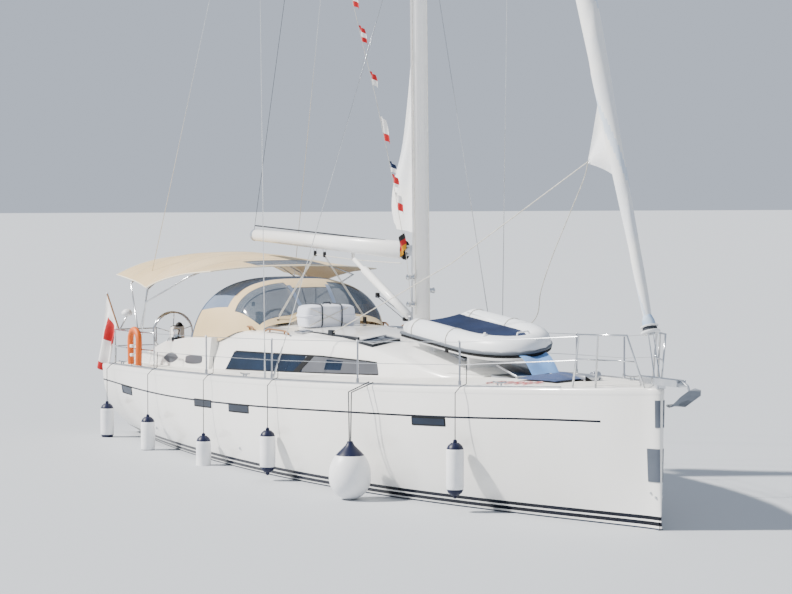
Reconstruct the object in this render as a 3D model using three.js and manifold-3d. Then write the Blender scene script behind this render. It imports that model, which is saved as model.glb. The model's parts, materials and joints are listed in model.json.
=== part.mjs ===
// Cruising sloop of about 14.3 m with twin wheels, in millimetres.
// X points to the bow, Y to port and Z up. The origin is amidships on the waterline.

import * as THREE from 'three';
import { mergeVertices } from 'three/addons/utils/BufferGeometryUtils.js';
import Module from 'manifold-3d';

const wasm = await Module();
wasm.setup();

// Driving dimensions

const LENGTH = 14300;
const BOW_X = LENGTH / 2;
const STERN_X = -LENGTH / 2;
const SEAT_GAP = 0.3;
const HULL_WALL = 50;
const DECK_THICKNESS = 60;
const DECK_CAMBER = 80;
const ROOF_WALL = 50;
const WIRE_RADIUS = 6;
const RAIL_RADIUS = 13;

// Finishes

const FINISHES = {
  gelcoat: { color: 0xf1f1ee, roughness: 0.3, metalness: 0 },
  antifouling: { color: 0x1d2b45, roughness: 0.8, metalness: 0 },
  aluminium: { color: 0xc9ccd0, roughness: 0.35, metalness: 1 },
  whiteMetal: { color: 0xeceded, roughness: 0.35, metalness: 0 },
  stainless: { color: 0xd5d7da, roughness: 0.2, metalness: 1 },
  iron: { color: 0x2d3136, roughness: 0.7, metalness: 0 },
  bronze: { color: 0xa9793c, roughness: 0.35, metalness: 1 },
  glass: { color: 0x1e2a36, roughness: 0.05, metalness: 0 },
  canvas: { color: 0xd8c5a0, roughness: 0.95, metalness: 0 },
  sailcloth: { color: 0xe9eaec, roughness: 0.8, metalness: 0 },
  teak: { color: 0xa57a4d, roughness: 0.7, metalness: 0 },
  plastic: { color: 0xe8e9ea, roughness: 0.45, metalness: 0 },
  orange: { color: 0xf0851c, roughness: 0.6, metalness: 0 },
  flag: { color: 0xd42a2e, roughness: 0.9, metalness: 0 },
  rope: { color: 0xd7d4cb, roughness: 0.9, metalness: 0 },
};

const yacht = new THREE.Group();
const materials = new Map();

function finish(name) {
  if (!materials.has(name)) {
    materials.set(name, new THREE.MeshStandardMaterial(FINISHES[name]));
  }
  return materials.get(name);
}

function addPart(name, geometry, finishName) {
  const mesh = new THREE.Mesh(geometry, finish(finishName));
  mesh.name = name;
  yacht.add(mesh);
}

// Closed meshes and the cuts and joins between them

function v(x, y, z) {
  return new THREE.Vector3(x, y, z);
}

function facingOut(triangles) {
  let volume = 0;
  for (const [a, b, c] of triangles) {
    volume += a.dot(b.clone().cross(c));
  }
  return volume > 0 ? triangles : triangles.map(([a, b, c]) => [a, c, b]);
}

function geometryFrom(triangles) {
  const geometry = new THREE.BufferGeometry();
  geometry.setFromPoints(facingOut(triangles).flat());
  return mergeVertices(geometry, 1e-3);
}

function capOf(ring) {
  const normal = v(0, 0, 0);
  ring.forEach((point, i) => normal.add(point.clone().cross(ring[(i + 1) % ring.length])));
  const size = [Math.abs(normal.x), Math.abs(normal.y), Math.abs(normal.z)];
  const flat = (point) => {
    if (size[0] >= size[1] && size[0] >= size[2]) return new THREE.Vector2(point.y, point.z);
    if (size[1] >= size[2]) return new THREE.Vector2(point.z, point.x);
    return new THREE.Vector2(point.x, point.y);
  };
  const faces = THREE.ShapeUtils.triangulateShape(ring.map(flat), []);
  return faces.map((face) => face.map((i) => ring[i]));
}

function loft(rings) {
  const triangles = [];
  for (let i = 0; i + 1 < rings.length; i += 1) {
    const near = rings[i];
    const far = rings[i + 1];
    for (let j = 0; j < near.length; j += 1) {
      const k = (j + 1) % near.length;
      triangles.push([near[j], near[k], far[k]], [near[j], far[k], far[j]]);
    }
  }
  const startCap = capOf(rings[0]);
  const endCap = capOf(rings[rings.length - 1]);
  const outward = matchCap(startCap, rings[0], true).concat(matchCap(endCap, rings[rings.length - 1], false));
  return geometryFrom(triangles.concat(outward));
}

function matchCap(cap, ring, reversed) {
  // A cap's edge runs against the wall's edge, so its first border edge shows which way to turn it.
  const place = new Map(ring.map((point, i) => [point, i]));
  for (const face of cap) {
    for (let i = 0; i < 3; i += 1) {
      const from = place.get(face[i]);
      const to = place.get(face[(i + 1) % 3]);
      const ahead = to === (from + 1) % ring.length;
      const behind = from === (to + 1) % ring.length;
      if (ahead !== behind) {
        return ahead === reversed ? cap.map(([a, b, c]) => [a, c, b]) : cap;
      }
    }
  }
  return cap;
}

function solidOf(geometry) {
  const bare = new THREE.BufferGeometry();
  bare.setAttribute('position', geometry.getAttribute('position'));
  bare.setIndex(geometry.getIndex());
  const merged = mergeVertices(bare, 1e-3);
  const mesh = new wasm.Mesh({
    numProp: 3,
    vertProperties: new Float32Array(merged.getAttribute('position').array),
    triVerts: new Uint32Array(merged.getIndex().array),
  });
  return new wasm.Manifold(mesh);
}

function geometryOf(solid) {
  const mesh = solid.getMesh();
  const geometry = new THREE.BufferGeometry();
  geometry.setAttribute('position', new THREE.BufferAttribute(mesh.vertProperties, 3));
  geometry.setIndex(new THREE.BufferAttribute(mesh.triVerts, 1));
  return geometry;
}

function join(...geometries) {
  return geometryOf(geometries.map(solidOf).reduce((whole, piece) => whole.add(piece)));
}

function cut(base, ...tools) {
  return geometryOf(tools.map(solidOf).reduce((whole, tool) => whole.subtract(tool), solidOf(base)));
}

function common(first, second) {
  return geometryOf(solidOf(first).intersect(solidOf(second)));
}

function mirrored(geometry) {
  const copy = geometry.clone().scale(1, -1, 1);
  const index = Array.from(copy.getIndex().array);
  for (let i = 0; i < index.length; i += 3) {
    [index[i + 1], index[i + 2]] = [index[i + 2], index[i + 1]];
  }
  copy.setIndex(index);
  return copy;
}

// Simple shapes

function block(x0, x1, y0, y1, z0, z1) {
  const geometry = new THREE.BoxGeometry(x1 - x0, y1 - y0, z1 - z0);
  return geometry.translate((x0 + x1) / 2, (y0 + y1) / 2, (z0 + z1) / 2);
}

function ringAround(centre, side, up, halfWidth, halfHeight, sides) {
  return Array.from({ length: sides }, (_, i) => {
    const turn = (2 * Math.PI * (i + 0.5)) / sides;
    return centre.clone()
      .addScaledVector(side, halfWidth * Math.cos(turn))
      .addScaledVector(up, halfHeight * Math.sin(turn));
  });
}

function tube(points, radius, sides = 8, endRadius = radius) {
  const first = points[1].clone().sub(points[0]).normalize();
  const helper = Math.abs(first.z) > 0.9 ? v(1, 0, 0) : v(0, 0, 1);
  const side = helper.clone().cross(first).normalize();
  const up = first.clone().cross(side);
  const rings = [ringAround(points[0], side, up, radius, radius, sides)];
  for (let i = 1; i < points.length; i += 1) {
    const along = points[i].clone().sub(points[i - 1]).normalize();
    const next = i + 1 < points.length ? points[i + 1].clone().sub(points[i]).normalize() : along;
    const mitre = along.clone().add(next).normalize();
    const last = i === points.length - 1;
    rings.push(rings[i - 1].map((point) => {
      const reach = points[i].clone().sub(point).dot(mitre) / along.dot(mitre);
      const moved = point.clone().addScaledVector(along, reach);
      return last ? points[i].clone().addScaledVector(moved.sub(points[i]), endRadius / radius) : moved;
    }));
  }
  return loft(rings);
}

function bar(from, to, radius, sides = 8, endRadius = radius) {
  return tube([from, to], radius, sides, endRadius);
}

function prismXZ(outline, y0, y1) {
  return loft([y0, y1].map((y) => outline.map(([x, z]) => v(x, y, z))));
}

function lerp(table, at, column) {
  const last = table.length - 1;
  const i = Math.min(last - 1, Math.max(0, table.findIndex((row) => row[0] >= at) - 1));
  const start = at > table[last][0] ? last - 1 : i;
  const share = (at - table[start][0]) / (table[start + 1][0] - table[start][0]);
  return table[start][column] + share * (table[start + 1][column] - table[start][column]);
}

// Hull

// Columns: distance aft of the stem, half beam at the deck, depth below water,
// fullness of the sides and fullness of the bottom.
const STATIONS = [
  [0, 30, 10, 1.6, 1.4],
  [150, 120, 150, 1.7, 1.4],
  [500, 345, 290, 1.9, 1.5],
  [1200, 720, 400, 2.2, 1.7],
  [2200, 1155, 490, 2.4, 2.0],
  [3400, 1553, 550, 2.6, 2.3],
  [5000, 1892, 600, 2.9, 2.7],
  [7000, 2103, 620, 3.1, 3.1],
  [9000, 2157, 600, 3.2, 3.1],
  [11000, 2129, 470, 3.2, 2.8],
  [12800, 2043, 310, 3.1, 2.5],
  [14300, 1930, 160, 3.0, 2.2],
];
const SECTION_STEPS = 11;
const SHEER_BOW = 1764;
const SHEER_FALL = 747;
const SHEER_CURVE = 198;

function aftOfStem(x) {
  return BOW_X - x;
}

function sheerHeight(x) {
  const share = aftOfStem(x) / LENGTH;
  return SHEER_BOW - SHEER_FALL * share + SHEER_CURVE * share * share;
}

function halfBeam(x) {
  return lerp(STATIONS, aftOfStem(x), 1);
}

function deckHeight(x, y) {
  const share = Math.min(1, Math.abs(y) / halfBeam(x));
  return sheerHeight(x) + DECK_CAMBER * (1 - share * share) * Math.min(1, halfBeam(x) / 1000);
}

function hullRing(row, grow, topRise) {
  const [distance, beam, depth, sideFullness, bottomFullness] = row;
  const x = BOW_X - distance;
  const top = sheerHeight(x) - DECK_THICKNESS;
  const height = top + depth + grow;
  const half = [];
  for (let i = 0; i <= SECTION_STEPS; i += 1) {
    const turn = (Math.PI / 2) * (i / SECTION_STEPS);
    const y = (beam + grow) * Math.cos(turn) ** (2 / sideFullness);
    const z = top - height * Math.sin(turn) ** (2 / bottomFullness);
    half.push([i === SECTION_STEPS ? 0 : y, z]);
  }
  half[0][1] += topRise;
  const starboard = half.map(([y, z]) => v(x, -y, z));
  const port = half.slice(0, -1).reverse().map(([y, z]) => v(x, y, z));
  return starboard.concat(port);
}

function hullBody(grow, topRise, from, to) {
  const rows = STATIONS.filter((row) => row[0] > from && row[0] < to);
  const edge = (at) => [at, ...[1, 2, 3, 4].map((column) => lerp(STATIONS, at, column))];
  const all = [edge(from), ...rows, edge(to)];
  return loft(all.map((row) => hullRing(row, grow, topRise)));
}

// Transom door, fold-down bathing platform

const DOOR = { halfWidth: 820, sill: 450, top: 1150, thickness: 60, gap: 7 };

// Rudder stock bore and engine beds

const RUDDER = { x: -6300, stock: 45, bore: 46.2, top: 350, bladeTop: -330, tip: -1780 };
const ENGINE = { x0: -4150, x1: -3350, halfWidth: 290, z0: -300, z1: 420 };

function buildHull() {
  const outer = hullBody(0, 0, 0, LENGTH);
  const inner = hullBody(-HULL_WALL, 300, 700, LENGTH - HULL_WALL);
  const doorway = block(
    STERN_X - 50, STERN_X + 200,
    -DOOR.halfWidth - DOOR.gap, DOOR.halfWidth + DOOR.gap,
    DOOR.sill - DOOR.gap, 1400,
  );
  const bore = bar(v(RUDDER.x, 0, -600), v(RUDDER.x, 0, 200), RUDDER.bore, 24);
  const shell = cut(outer, inner, doorway, bore);
  const bedBottom = common(
    join(
      block(ENGINE.x0, ENGINE.x1, -ENGINE.halfWidth, -ENGINE.halfWidth + 90, -700, ENGINE.z0 - SEAT_GAP),
      block(ENGINE.x0, ENGINE.x1, ENGINE.halfWidth - 90, ENGINE.halfWidth, -700, ENGINE.z0 - SEAT_GAP),
    ),
    hullBody(-HULL_WALL / 2, 0, 700, LENGTH - HULL_WALL),
  );
  addPart('hull_shell', join(shell, bedBottom), 'gelcoat');
}

// Deck, with openings under the coachroof and the cockpit

const ROOF_AFT = -3450;
const ROOF_NOSE = 3400;
const COCKPIT = { front: ROOF_AFT, aft: -7000, halfWidth: 1385, sole: 850, seat: 1280 };

function deckRing(x, rise, floor) {
  const beam = halfBeam(x);
  const rim = rise > 0 ? 40 : 0;
  const steps = 8;
  const top = Array.from({ length: steps + 1 }, (_, i) => {
    const y = -beam + (2 * beam * i) / steps;
    return v(x, y, deckHeight(x, y) + rise);
  });
  const low = [v(x, beam + rim, floor(x)), v(x, -beam - rim, floor(x))];
  if (!rim) return top.concat(low);
  const edge = sheerHeight(x) + rise;
  return [v(x, -beam - rim, edge), ...top, v(x, beam + rim, edge), ...low];
}

function deckBody(rise, floor, from = 0, to = LENGTH) {
  const places = STATIONS.map((row) => row[0]).filter((at) => at > from && at < to);
  return loft([from, ...places, to].map((at) => deckRing(BOW_X - at, rise, floor)));
}

function deckEnvelope() {
  return deckBody(SEAT_GAP, () => -500);
}

// Coachroof

// Columns: x, half width at the deck and height of the crown.
const ROOF_SECTIONS = [
  [-3450, 1470, 2110],
  [-1500, 1390, 2120],
  [100, 1260, 2110],
  [1200, 1130, 2060],
  [2000, 960, 1930],
  [2800, 700, 1780],
  [3400, 380, 1700],
];
const ROOF_LEAN = 0.3;
const ROOF_CAMBER = 90;

function roofRing(row, inset, floor) {
  const [x, deckWidth, crown] = row;
  const top = crown - inset;
  const deck = deckHeight(x, deckWidth);
  const shoulder = Math.max(deck + 8, top - 170);
  const rise = Math.max(10, top - ROOF_CAMBER - shoulder);
  const base = deckWidth - inset;
  const edge = base - ROOF_LEAN * (shoulder - deck);
  const half = [
    [base, floor],
    [base, deck],
    [edge, shoulder],
    [edge - 40, shoulder + rise * 0.7],
    [edge - 120, shoulder + rise],
    [edge * 0.6, top - ROOF_CAMBER * 0.42],
    [edge * 0.3, top - ROOF_CAMBER * 0.1],
  ];
  const starboard = half.map(([y, z]) => v(x, -y, z));
  const port = half.slice().reverse().map(([y, z]) => v(x, y, z));
  return starboard.concat(v(x, 0, top), port);
}

function roofBody(inset, floor, from, to) {
  const rows = ROOF_SECTIONS.filter((row) => row[0] > from && row[0] < to);
  const edge = (x) => [x, lerp(ROOF_SECTIONS, x, 1), lerp(ROOF_SECTIONS, x, 2)];
  return loft([edge(from), ...rows, edge(to)].map((row) => roofRing(row, inset, floor)));
}

function roofHeight(x, y) {
  const edge = lerp(ROOF_SECTIONS, x, 1) - 150;
  return lerp(ROOF_SECTIONS, x, 2) - ROOF_CAMBER * (y / edge) ** 2;
}

function roofEnvelope() {
  return roofBody(-SEAT_GAP, 1000, ROOF_AFT, ROOF_NOSE);
}

const ROOF_INSIDE_NOSE = 2600;
const COMPANIONWAY = { halfWidth: 340, forward: -2650, step: 1330 };
const RUNNER = { y: 370, halfWidth: 12, top: 2130, front: -1990 };
const GARAGE = { aft: -2500, front: -1940, halfWidth: 450, top: 2225, wall: 25 };

// Side window as an outline in x and z
const WINDOW = [[-2900, 1405], [-2760, 1680], [0, 1765], [1240, 1765], [1450, 1755], [1550, 1605]];

// Roof hatch lids: centre x, centre y, half length, half width
const ROOF_HATCHES = {
  roof_hatch_stbd: { x: 965, y: -720, half: 230 },
  roof_hatch_port: { x: 965, y: 720, half: 230 },
};

function shrunk(outline, by) {
  const cx = outline.reduce((sum, [x]) => sum + x, 0) / outline.length;
  const cz = outline.reduce((sum, [, z]) => sum + z, 0) / outline.length;
  return outline.map(([x, z]) => {
    const reach = Math.hypot(x - cx, z - cz);
    const share = 1 - by / reach;
    return [cx + (x - cx) * share, cz + (z - cz) * share];
  });
}

function buildDeck() {
  const plate = deckBody(0, (x) => sheerHeight(x) - DECK_THICKNESS + SEAT_GAP);
  const saloon = loft(ROOF_SECTIONS.filter((row) => row[0] <= ROOF_INSIDE_NOSE).map(([x, width]) => [
    v(x, -(width - 110), 1000), v(x, width - 110, 1000), v(x, width - 110, 2500), v(x, -(width - 110), 2500),
  ]));
  const well = block(COCKPIT.aft, ROOF_AFT + 60, -COCKPIT.halfWidth, COCKPIT.halfWidth, 900, 2000);
  const doorway = block(
    STERN_X - 50, COCKPIT.aft + 10,
    -DOOR.halfWidth - DOOR.gap, DOOR.halfWidth + DOOR.gap, 900, 2000,
  );
  const hatchway = block(FORE_HATCH.x0 + 30, FORE_HATCH.x1 - 30, -FORE_HATCH.half + 30, FORE_HATCH.half - 30, 1400, 2000);
  addPart('deck', cut(plate, saloon, well, doorway, hatchway), 'gelcoat');
}

const FORE_HATCH = { x0: 3560, x1: 4120, half: 280, thickness: 30, open: 13 };

function buildCoachroof() {
  const outer = roofBody(0, 1000, ROOF_AFT, ROOF_NOSE);
  const inner = roofBody(ROOF_WALL, 900, ROOF_AFT + ROOF_WALL, ROOF_INSIDE_NOSE);
  const tools = [inner, deckEnvelope()];
  tools.push(prismXZ(WINDOW, -1700, -800), prismXZ(WINDOW, 800, 1700));
  const { halfWidth, forward, step } = COMPANIONWAY;
  tools.push(block(ROOF_AFT - 50, forward, -halfWidth, halfWidth, step, 2300));
  for (const { x, y, half } of Object.values(ROOF_HATCHES)) {
    tools.push(block(x - half + 30, x + half - 30, y - half + 30, y + half - 30, 1800, 2300));
  }
  const winches = WINCHES.roof.map(([x, y]) => cut(winchDrum(x, y, roofHeight(x, y) - 30), inner));
  const fittings = [jibCar(-1), jibCar(1), runner(-1), runner(1), garage(0)];
  addPart('coachroof', join(cut(outer, ...tools), ...winches, ...fittings.map((piece) => cut(piece, inner))), 'gelcoat');
  const skin = cut(
    roofBody(6, 1000, ROOF_AFT + 100, ROOF_INSIDE_NOSE - 200),
    roofBody(14, 900, ROOF_AFT, ROOF_INSIDE_NOSE),
  );
  const pane = common(skin, prismXZ(shrunk(WINDOW, 2), -1700, -600));
  addPart('window_stbd', pane, 'glass');
  addPart('window_port', mirrored(pane), 'glass');
}

function runner(side) {
  const { y, halfWidth, top, front } = RUNNER;
  return block(ROOF_AFT + 5, front, side * y - halfWidth, side * y + halfWidth, 2080, top);
}

function garage(grow) {
  const { aft, front, halfWidth, top, wall } = GARAGE;
  const wide = halfWidth + grow;
  const shell = block(aft - grow, front + grow, -wide, wide, 2060, top + grow);
  if (grow) return shell;
  const inside = halfWidth - wall;
  return cut(shell, block(aft - 50, front - wall, -inside, inside, 2000, top - wall));
}

const JIB_CAR = { x: -300, y: 870, height: 70 };

function jibCar(side) {
  const { x, y, height } = JIB_CAR;
  const z = roofHeight(x, y);
  const centre = side * y;
  const track = block(x - 1100, x + 900, centre - 16, centre + 16, z - 60, z + 12);
  return join(track, block(x - 70, x + 70, centre - 25, centre + 25, z - 60, z + height));
}

// The slack sheet from the clew to the port car, as hand-placed points
const SLACK_SHEET = [
  v(5444, 0, 4600), v(5280, 60, 4420), v(4700, 170, 3870), v(4000, 350, 3310), v(3300, 600, 2800),
  v(2850, 830, 2480), v(2300, 1000, 2280), v(1600, 1060, 2160),
  v(1100, 1045, 2120), v(770, 1005, 2108), v(350, 935, 2102), v(-100, 871, 2096), v(-228.5, 870, 2095),
];

function buildSheet() {
  const route = new THREE.CatmullRomCurve3(SLACK_SHEET).getPoints(60);
  addPart('jib_sheet_port', tube(route, 7, 8), 'rope');
}

function buildHatches() {
  for (const [name, { x, y, half }] of Object.entries(ROOF_HATCHES)) {
    const lid = block(x - half, x + half, y - half, y + half, 1800, 2300);
    const top = roofBody(-SEAT_GAP - 30, 1000, ROOF_AFT, ROOF_NOSE);
    addPart(name, cut(common(lid, top), roofEnvelope()), 'glass');
  }
  const { x0, x1, half, thickness, open } = FORE_HATCH;
  const hinge = v(x1, 0, deckHeight(x1, 0) + 0.7);
  const lid = block(x0, x1, -half, half, hinge.z, hinge.z + thickness);
  lid.translate(-hinge.x, 0, -hinge.z);
  lid.rotateY(THREE.MathUtils.degToRad(open));
  lid.translate(hinge.x, 0, hinge.z);
  addPart('fore_hatch', lid, 'glass');
}

// Cockpit moulding with coamings, seats and the helm well

// Columns: x, half width at the deck and height of the coaming.
const COAMING = [
  [-6950, 1520, 1340],
  [-6250, 1560, 1460],
  [-5350, 1590, 1690],
  [-4370, 1590, 1815],
  [-3450.6, 1560, 1860],
];
const HELM_FRONT = -5450;
const COAMING_INNER = 1270;

function buildCockpit() {
  const bulk = loft(COAMING.map(([x, width, top]) => [
    v(x, -width, 1000), v(x, -width + 90, top), v(x, width - 90, top), v(x, width, 1000),
  ]));
  const coaming = cut(bulk, deckEnvelope());
  const wall = COCKPIT.halfWidth - 2;
  const tub = block(COCKPIT.aft + 2, ROOF_AFT - 0.6, -wall, wall, COCKPIT.sole - 60, 1400);
  const footwell = block(HELM_FRONT - 10, ROOF_AFT - 450, -530, 530, COCKPIT.sole, 2500);
  const helm = block(COCKPIT.aft - 50, HELM_FRONT, -COAMING_INNER, COAMING_INNER, COCKPIT.sole, 2500);
  const seats = block(HELM_FRONT - 10, ROOF_AFT + 50, -COAMING_INNER, COAMING_INNER, COCKPIT.seat, 2500);
  const sternTrim = block(STERN_X - 100, COCKPIT.aft + 60, -3000, -COAMING_INNER + 200, 600, 1100);
  const moulding = cut(join(coaming, tub), footwell, helm, seats, sternTrim, mirrored(sternTrim));
  const winches = WINCHES.coaming.map(([x, y]) => winchDrum(x, y, lerp(COAMING, x, 2) - 30));
  addPart('cockpit', join(moulding, pedestal(-1), pedestal(1), ...winches), 'gelcoat');
}

function buildCompanionway() {
  const { halfWidth, forward, step } = COMPANIONWAY;
  const base = RUNNER.top + SEAT_GAP;
  const lid = block(ROOF_AFT + 5, forward + 40, -halfWidth - 50, halfWidth + 50, base, base + 40);
  addPart('companion_hatch', lid, 'glass');
  const door = block(ROOF_AFT + 8, ROOF_AFT + 32, -halfWidth + 6, halfWidth - 6, step + 8, 2040);
  const knuckles = [1500, 1800].map((z) => join(
    bar(v(ROOF_AFT - 8, halfWidth, z), v(ROOF_AFT - 8, halfWidth, z + 60), 7.6, 12),
    block(ROOF_AFT - 10, ROOF_AFT - 6, halfWidth - 40, halfWidth, z, z + 60),
    block(ROOF_AFT - 10, ROOF_AFT + 12, halfWidth - 40, halfWidth - 30, z, z + 60),
  ));
  addPart('companion_door', join(door, ...knuckles), 'glass');
}

function buildTransomDoor() {
  const { halfWidth, sill, top, thickness } = DOOR;
  const panel = block(STERN_X, STERN_X + thickness, -halfWidth, halfWidth, sill, top);
  const knuckles = [-600, 600].map((y) => join(
    bar(v(STERN_X - 7, y - 60, sill - 10), v(STERN_X - 7, y + 60, sill - 10), 6.6, 12),
    block(STERN_X - 11, STERN_X - 5, y - 60, y + 60, sill - 10, sill + 60),
    block(STERN_X - 11, STERN_X + 5, y - 60, y + 60, sill + 40, sill + 60),
  ));
  addPart('bathing_platform', join(panel, ...knuckles), 'gelcoat');
}

// Keel, rudder and drive

// Columns: height, front x, back x and half thickness.
const FIN_SECTIONS = [
  [-200, 1250, -700, 125],
  [-1750, 900, -450, 95],
];
const BULB = { front: 1350, back: -1050, z: -1900, radius: 230, flat: 0.85 };

function foilRing(front, back, half, z, y = 0) {
  const chord = front - back;
  // Columns: share of the chord from the nose and share of the half thickness.
  const shape = [[0, 0], [0.04, 0.55], [0.15, 0.9], [0.35, 1], [0.7, 0.6], [1, 0.06]];
  const right = shape.map(([along, wide]) => v(front - along * chord, y + half * wide, z));
  const left = shape.slice(1).reverse().map(([along, wide]) => v(front - along * chord, y - half * wide, z));
  return right.concat(left);
}

function buildKeel() {
  const fin = loft(FIN_SECTIONS.map(([z, front, back, half]) => foilRing(front, back, half, z)));
  const steps = [[0, 0.15], [0.06, 0.6], [0.2, 0.95], [0.4, 1], [0.7, 0.75], [1, 0.12]];
  const bulb = loft(steps.map(([along, wide]) => ringAround(
    v(BULB.front + (BULB.back - BULB.front) * along, 0, BULB.z),
    v(0, 1, 0), v(0, 0, 1), BULB.radius * wide, BULB.radius * wide * BULB.flat, 14,
  )));
  const clear = hullBody(SEAT_GAP, 0, 0, LENGTH);
  addPart('keel', cut(join(fin, bulb), clear), 'iron');
}

function buildRudder() {
  const { x, stock, top, bladeTop, tip } = RUDDER;
  const blade = loft([
    foilRing(x + 150, x - 500, 62, bladeTop),
    foilRing(x + 130, x - 330, 42, tip),
  ]);
  const post = bar(v(x, 0, bladeTop - 100), v(x, 0, top), stock, 16);
  addPart('rudder', join(blade, post), 'antifouling');
}

const DRIVE = { x: -3850, z: -960, hub: 62, propRadius: 235 };

function buildDrive() {
  const { x, z, hub } = DRIVE;
  const leg = loft([
    foilRing(x + 160, x - 170, 62, -300),
    foilRing(x + 150, x - 150, 52, z + 20),
  ]);
  const pod = loft([[-230, 55], [-150, 62], [120, 62], [210, 40], [250, 14]].map(([along, r]) => ringAround(
    v(x + along, 0, z), v(0, 1, 0), v(0, 0, 1), r, r, 12,
  )));
  const clear = hullBody(SEAT_GAP, 0, 0, LENGTH);
  addPart('saildrive', cut(join(leg, pod), clear), 'aluminium');
  const front = x - 230 - SEAT_GAP;
  const body = loft([[0, hub - 6], [-110, hub - 10], [-160, 30], [-190, 8]].map(([along, r]) => ringAround(
    v(front + along, 0, z), v(0, 1, 0), v(0, 0, 1), r, r, 12,
  )));
  const blades = [0, 1, 2].map((i) => propBlade(v(front - 55, 0, z), (2 * Math.PI * i) / 3));
  addPart('propeller', join(body, ...blades), 'bronze');
}

function propBlade(centre, turn) {
  // Columns: radius, half chord, pitch angle in degrees and half thickness.
  const rows = [[30, 38, 52, 9], [110, 72, 34, 7], [180, 66, 25, 5], [DRIVE.propRadius, 26, 20, 3]];
  const rings = rows.map(([radius, chord, pitch, half]) => {
    const angle = THREE.MathUtils.degToRad(pitch);
    const across = v(Math.sin(angle), Math.cos(angle), 0);
    const through = v(Math.cos(angle), -Math.sin(angle), 0);
    return [[1, 0], [0, 1], [-1, 0], [0, -1]].map(([a, b]) => v(0, 0, radius)
      .addScaledVector(across, chord * a)
      .addScaledVector(through, half * b));
  });
  const blade = loft(rings);
  blade.rotateX(turn);
  return blade.translate(centre.x, centre.y, centre.z);
}

function buildInside() {
  const { x0, x1, halfWidth, z0, z1 } = ENGINE;
  addPart('engine', block(x0, x1, -halfWidth, halfWidth, z0, z1), 'iron');
  const slab = block(-3250, 2600, -1700, 1700, -160, -120);
  const sole = common(slab, hullBody(-HULL_WALL - SEAT_GAP, 0, 700, LENGTH - HULL_WALL));
  const treads = [0, 1, 2, 3].map((i) => block(
    -3230 + 180 * i, -2500, -COMPANIONWAY.halfWidth + 20, COMPANIONWAY.halfWidth - 20,
    -130, 1050 - 300 * i,
  ));
  addPart('cabin_sole', join(sole, ...treads), 'teak');
}

// Rig

const MAST = { x: 930, z: 2600, rake: 0.021, halfLength: 185, halfWidth: 105, foot: 2000, head: 20200 };
// Columns: height at the mast, half span, sweep aft and rise at the tip.
const SPREADERS = [
  [8600, 2090, 960, 90],
  [14500, 1600, 740, 80],
];
const BACKSTAY = [v(-6950, -1500, 1000), v(mastX(20150) - 240, -50, 20150)];
const CHAINPLATE = { x: -170, y: 2030 };

function mastX(z) {
  return MAST.x - (z - MAST.z) * MAST.rake;
}

function spreaderTip([z, span, sweep, rise], side) {
  return v(mastX(z) - sweep, side * span, z + rise);
}

function mastTube(grow) {
  const { foot, head, halfLength, halfWidth } = MAST;
  return loft([[foot, 1], [head - 2600, 1], [head, 0.8]].map(([z, share]) => ringAround(
    v(mastX(z), 0, z), v(1, 0, 0), v(0, 1, 0), halfLength * share + grow, halfWidth * share + grow, 14,
  )));
}

function buildMast() {
  const { head } = MAST;
  const pieces = [mastTube(0)];
  for (const row of SPREADERS) {
    for (const side of [-1, 1]) {
      const tip = spreaderTip(row, side);
      const root = v(mastX(row[0]), side * 40, row[0]);
      pieces.push(loft([
        ringAround(root, v(1, 0, 0), v(0, 0, 1), 75, 26, 8),
        ringAround(tip, v(1, 0, 0), v(0, 0, 1), 42, 20, 8),
      ]));
    }
  }
  pieces.push(block(mastX(head) - 260, mastX(head) + 130, -40, 40, head - 90, head + 20));
  addPart('mast', cut(join(...pieces), roofEnvelope()), 'whiteMetal');
  addPart('mast_brackets', mastBrackets(), 'aluminium');
}

// Boom and its rigid vang. The boom swings about a line along the mast's rake.

const GOOSENECK = { x: 590, z: 3335 };
const BOOM = { front: 440, back: -5000, rise: 146, frontHalf: 140, backHalf: 98, halfWidth: 80 };
const VANG = { foot: v(612, 0, 2330), head: v(-1290, 0, 3175), tube: 62, rod: 36, overlap: 900 };

function boomCentre(x) {
  return GOOSENECK.z + (BOOM.rise * (BOOM.front - x)) / (BOOM.front - BOOM.back);
}

function buildBoom() {
  const { front, back, frontHalf, backHalf, halfWidth } = BOOM;
  const spar = loft([[front, frontHalf], [back, backHalf]].map(([x, half]) => ringAround(
    v(x, 0, boomCentre(x)), v(0, 1, 0), v(0, 0, 1), halfWidth, half, 12,
  )));
  const lug = prismXZ([
    [VANG.head.x - 60, boomCentre(VANG.head.x)], [VANG.head.x + 60, boomCentre(VANG.head.x)],
    [VANG.head.x + 30, VANG.head.z - 35], [VANG.head.x - 30, VANG.head.z - 35],
  ], -9, 9);
  const { x, z } = GOOSENECK;
  const tang = block(front - 40, x + 10, -14, 14, z - 26, z + 26);
  const boss = bar(v(x, -18 + SEAT_GAP, z), v(x, 18 - SEAT_GAP, z), 15, 12);
  addPart('boom', join(spar, lug, tang, boss), 'whiteMetal');

  const cheeks = [-28, 28].map((y) => block(x - 32, x + 34, y - 10, y + 10, z - 44, z + 44));
  const web = block(x + 24, x + 44, -38, 38, z - 44, z + 44);
  const floors = [-1, 1].map((up) => block(x - 12, x + 44, -38, 38, z + up * 40 - 4, z + up * 40 + 4));
  const pin = bar(v(x, 0, z + 42), v(x, 0, z + 50 - SEAT_GAP), 10, 12);
  const lowPin = bar(v(x, 0, z - 50 + SEAT_GAP), v(x, 0, z - 42), 10, 12);
  addPart('gooseneck_toggle', join(...cheeks, web, ...floors, pin, lowPin), 'aluminium');
}

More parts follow.
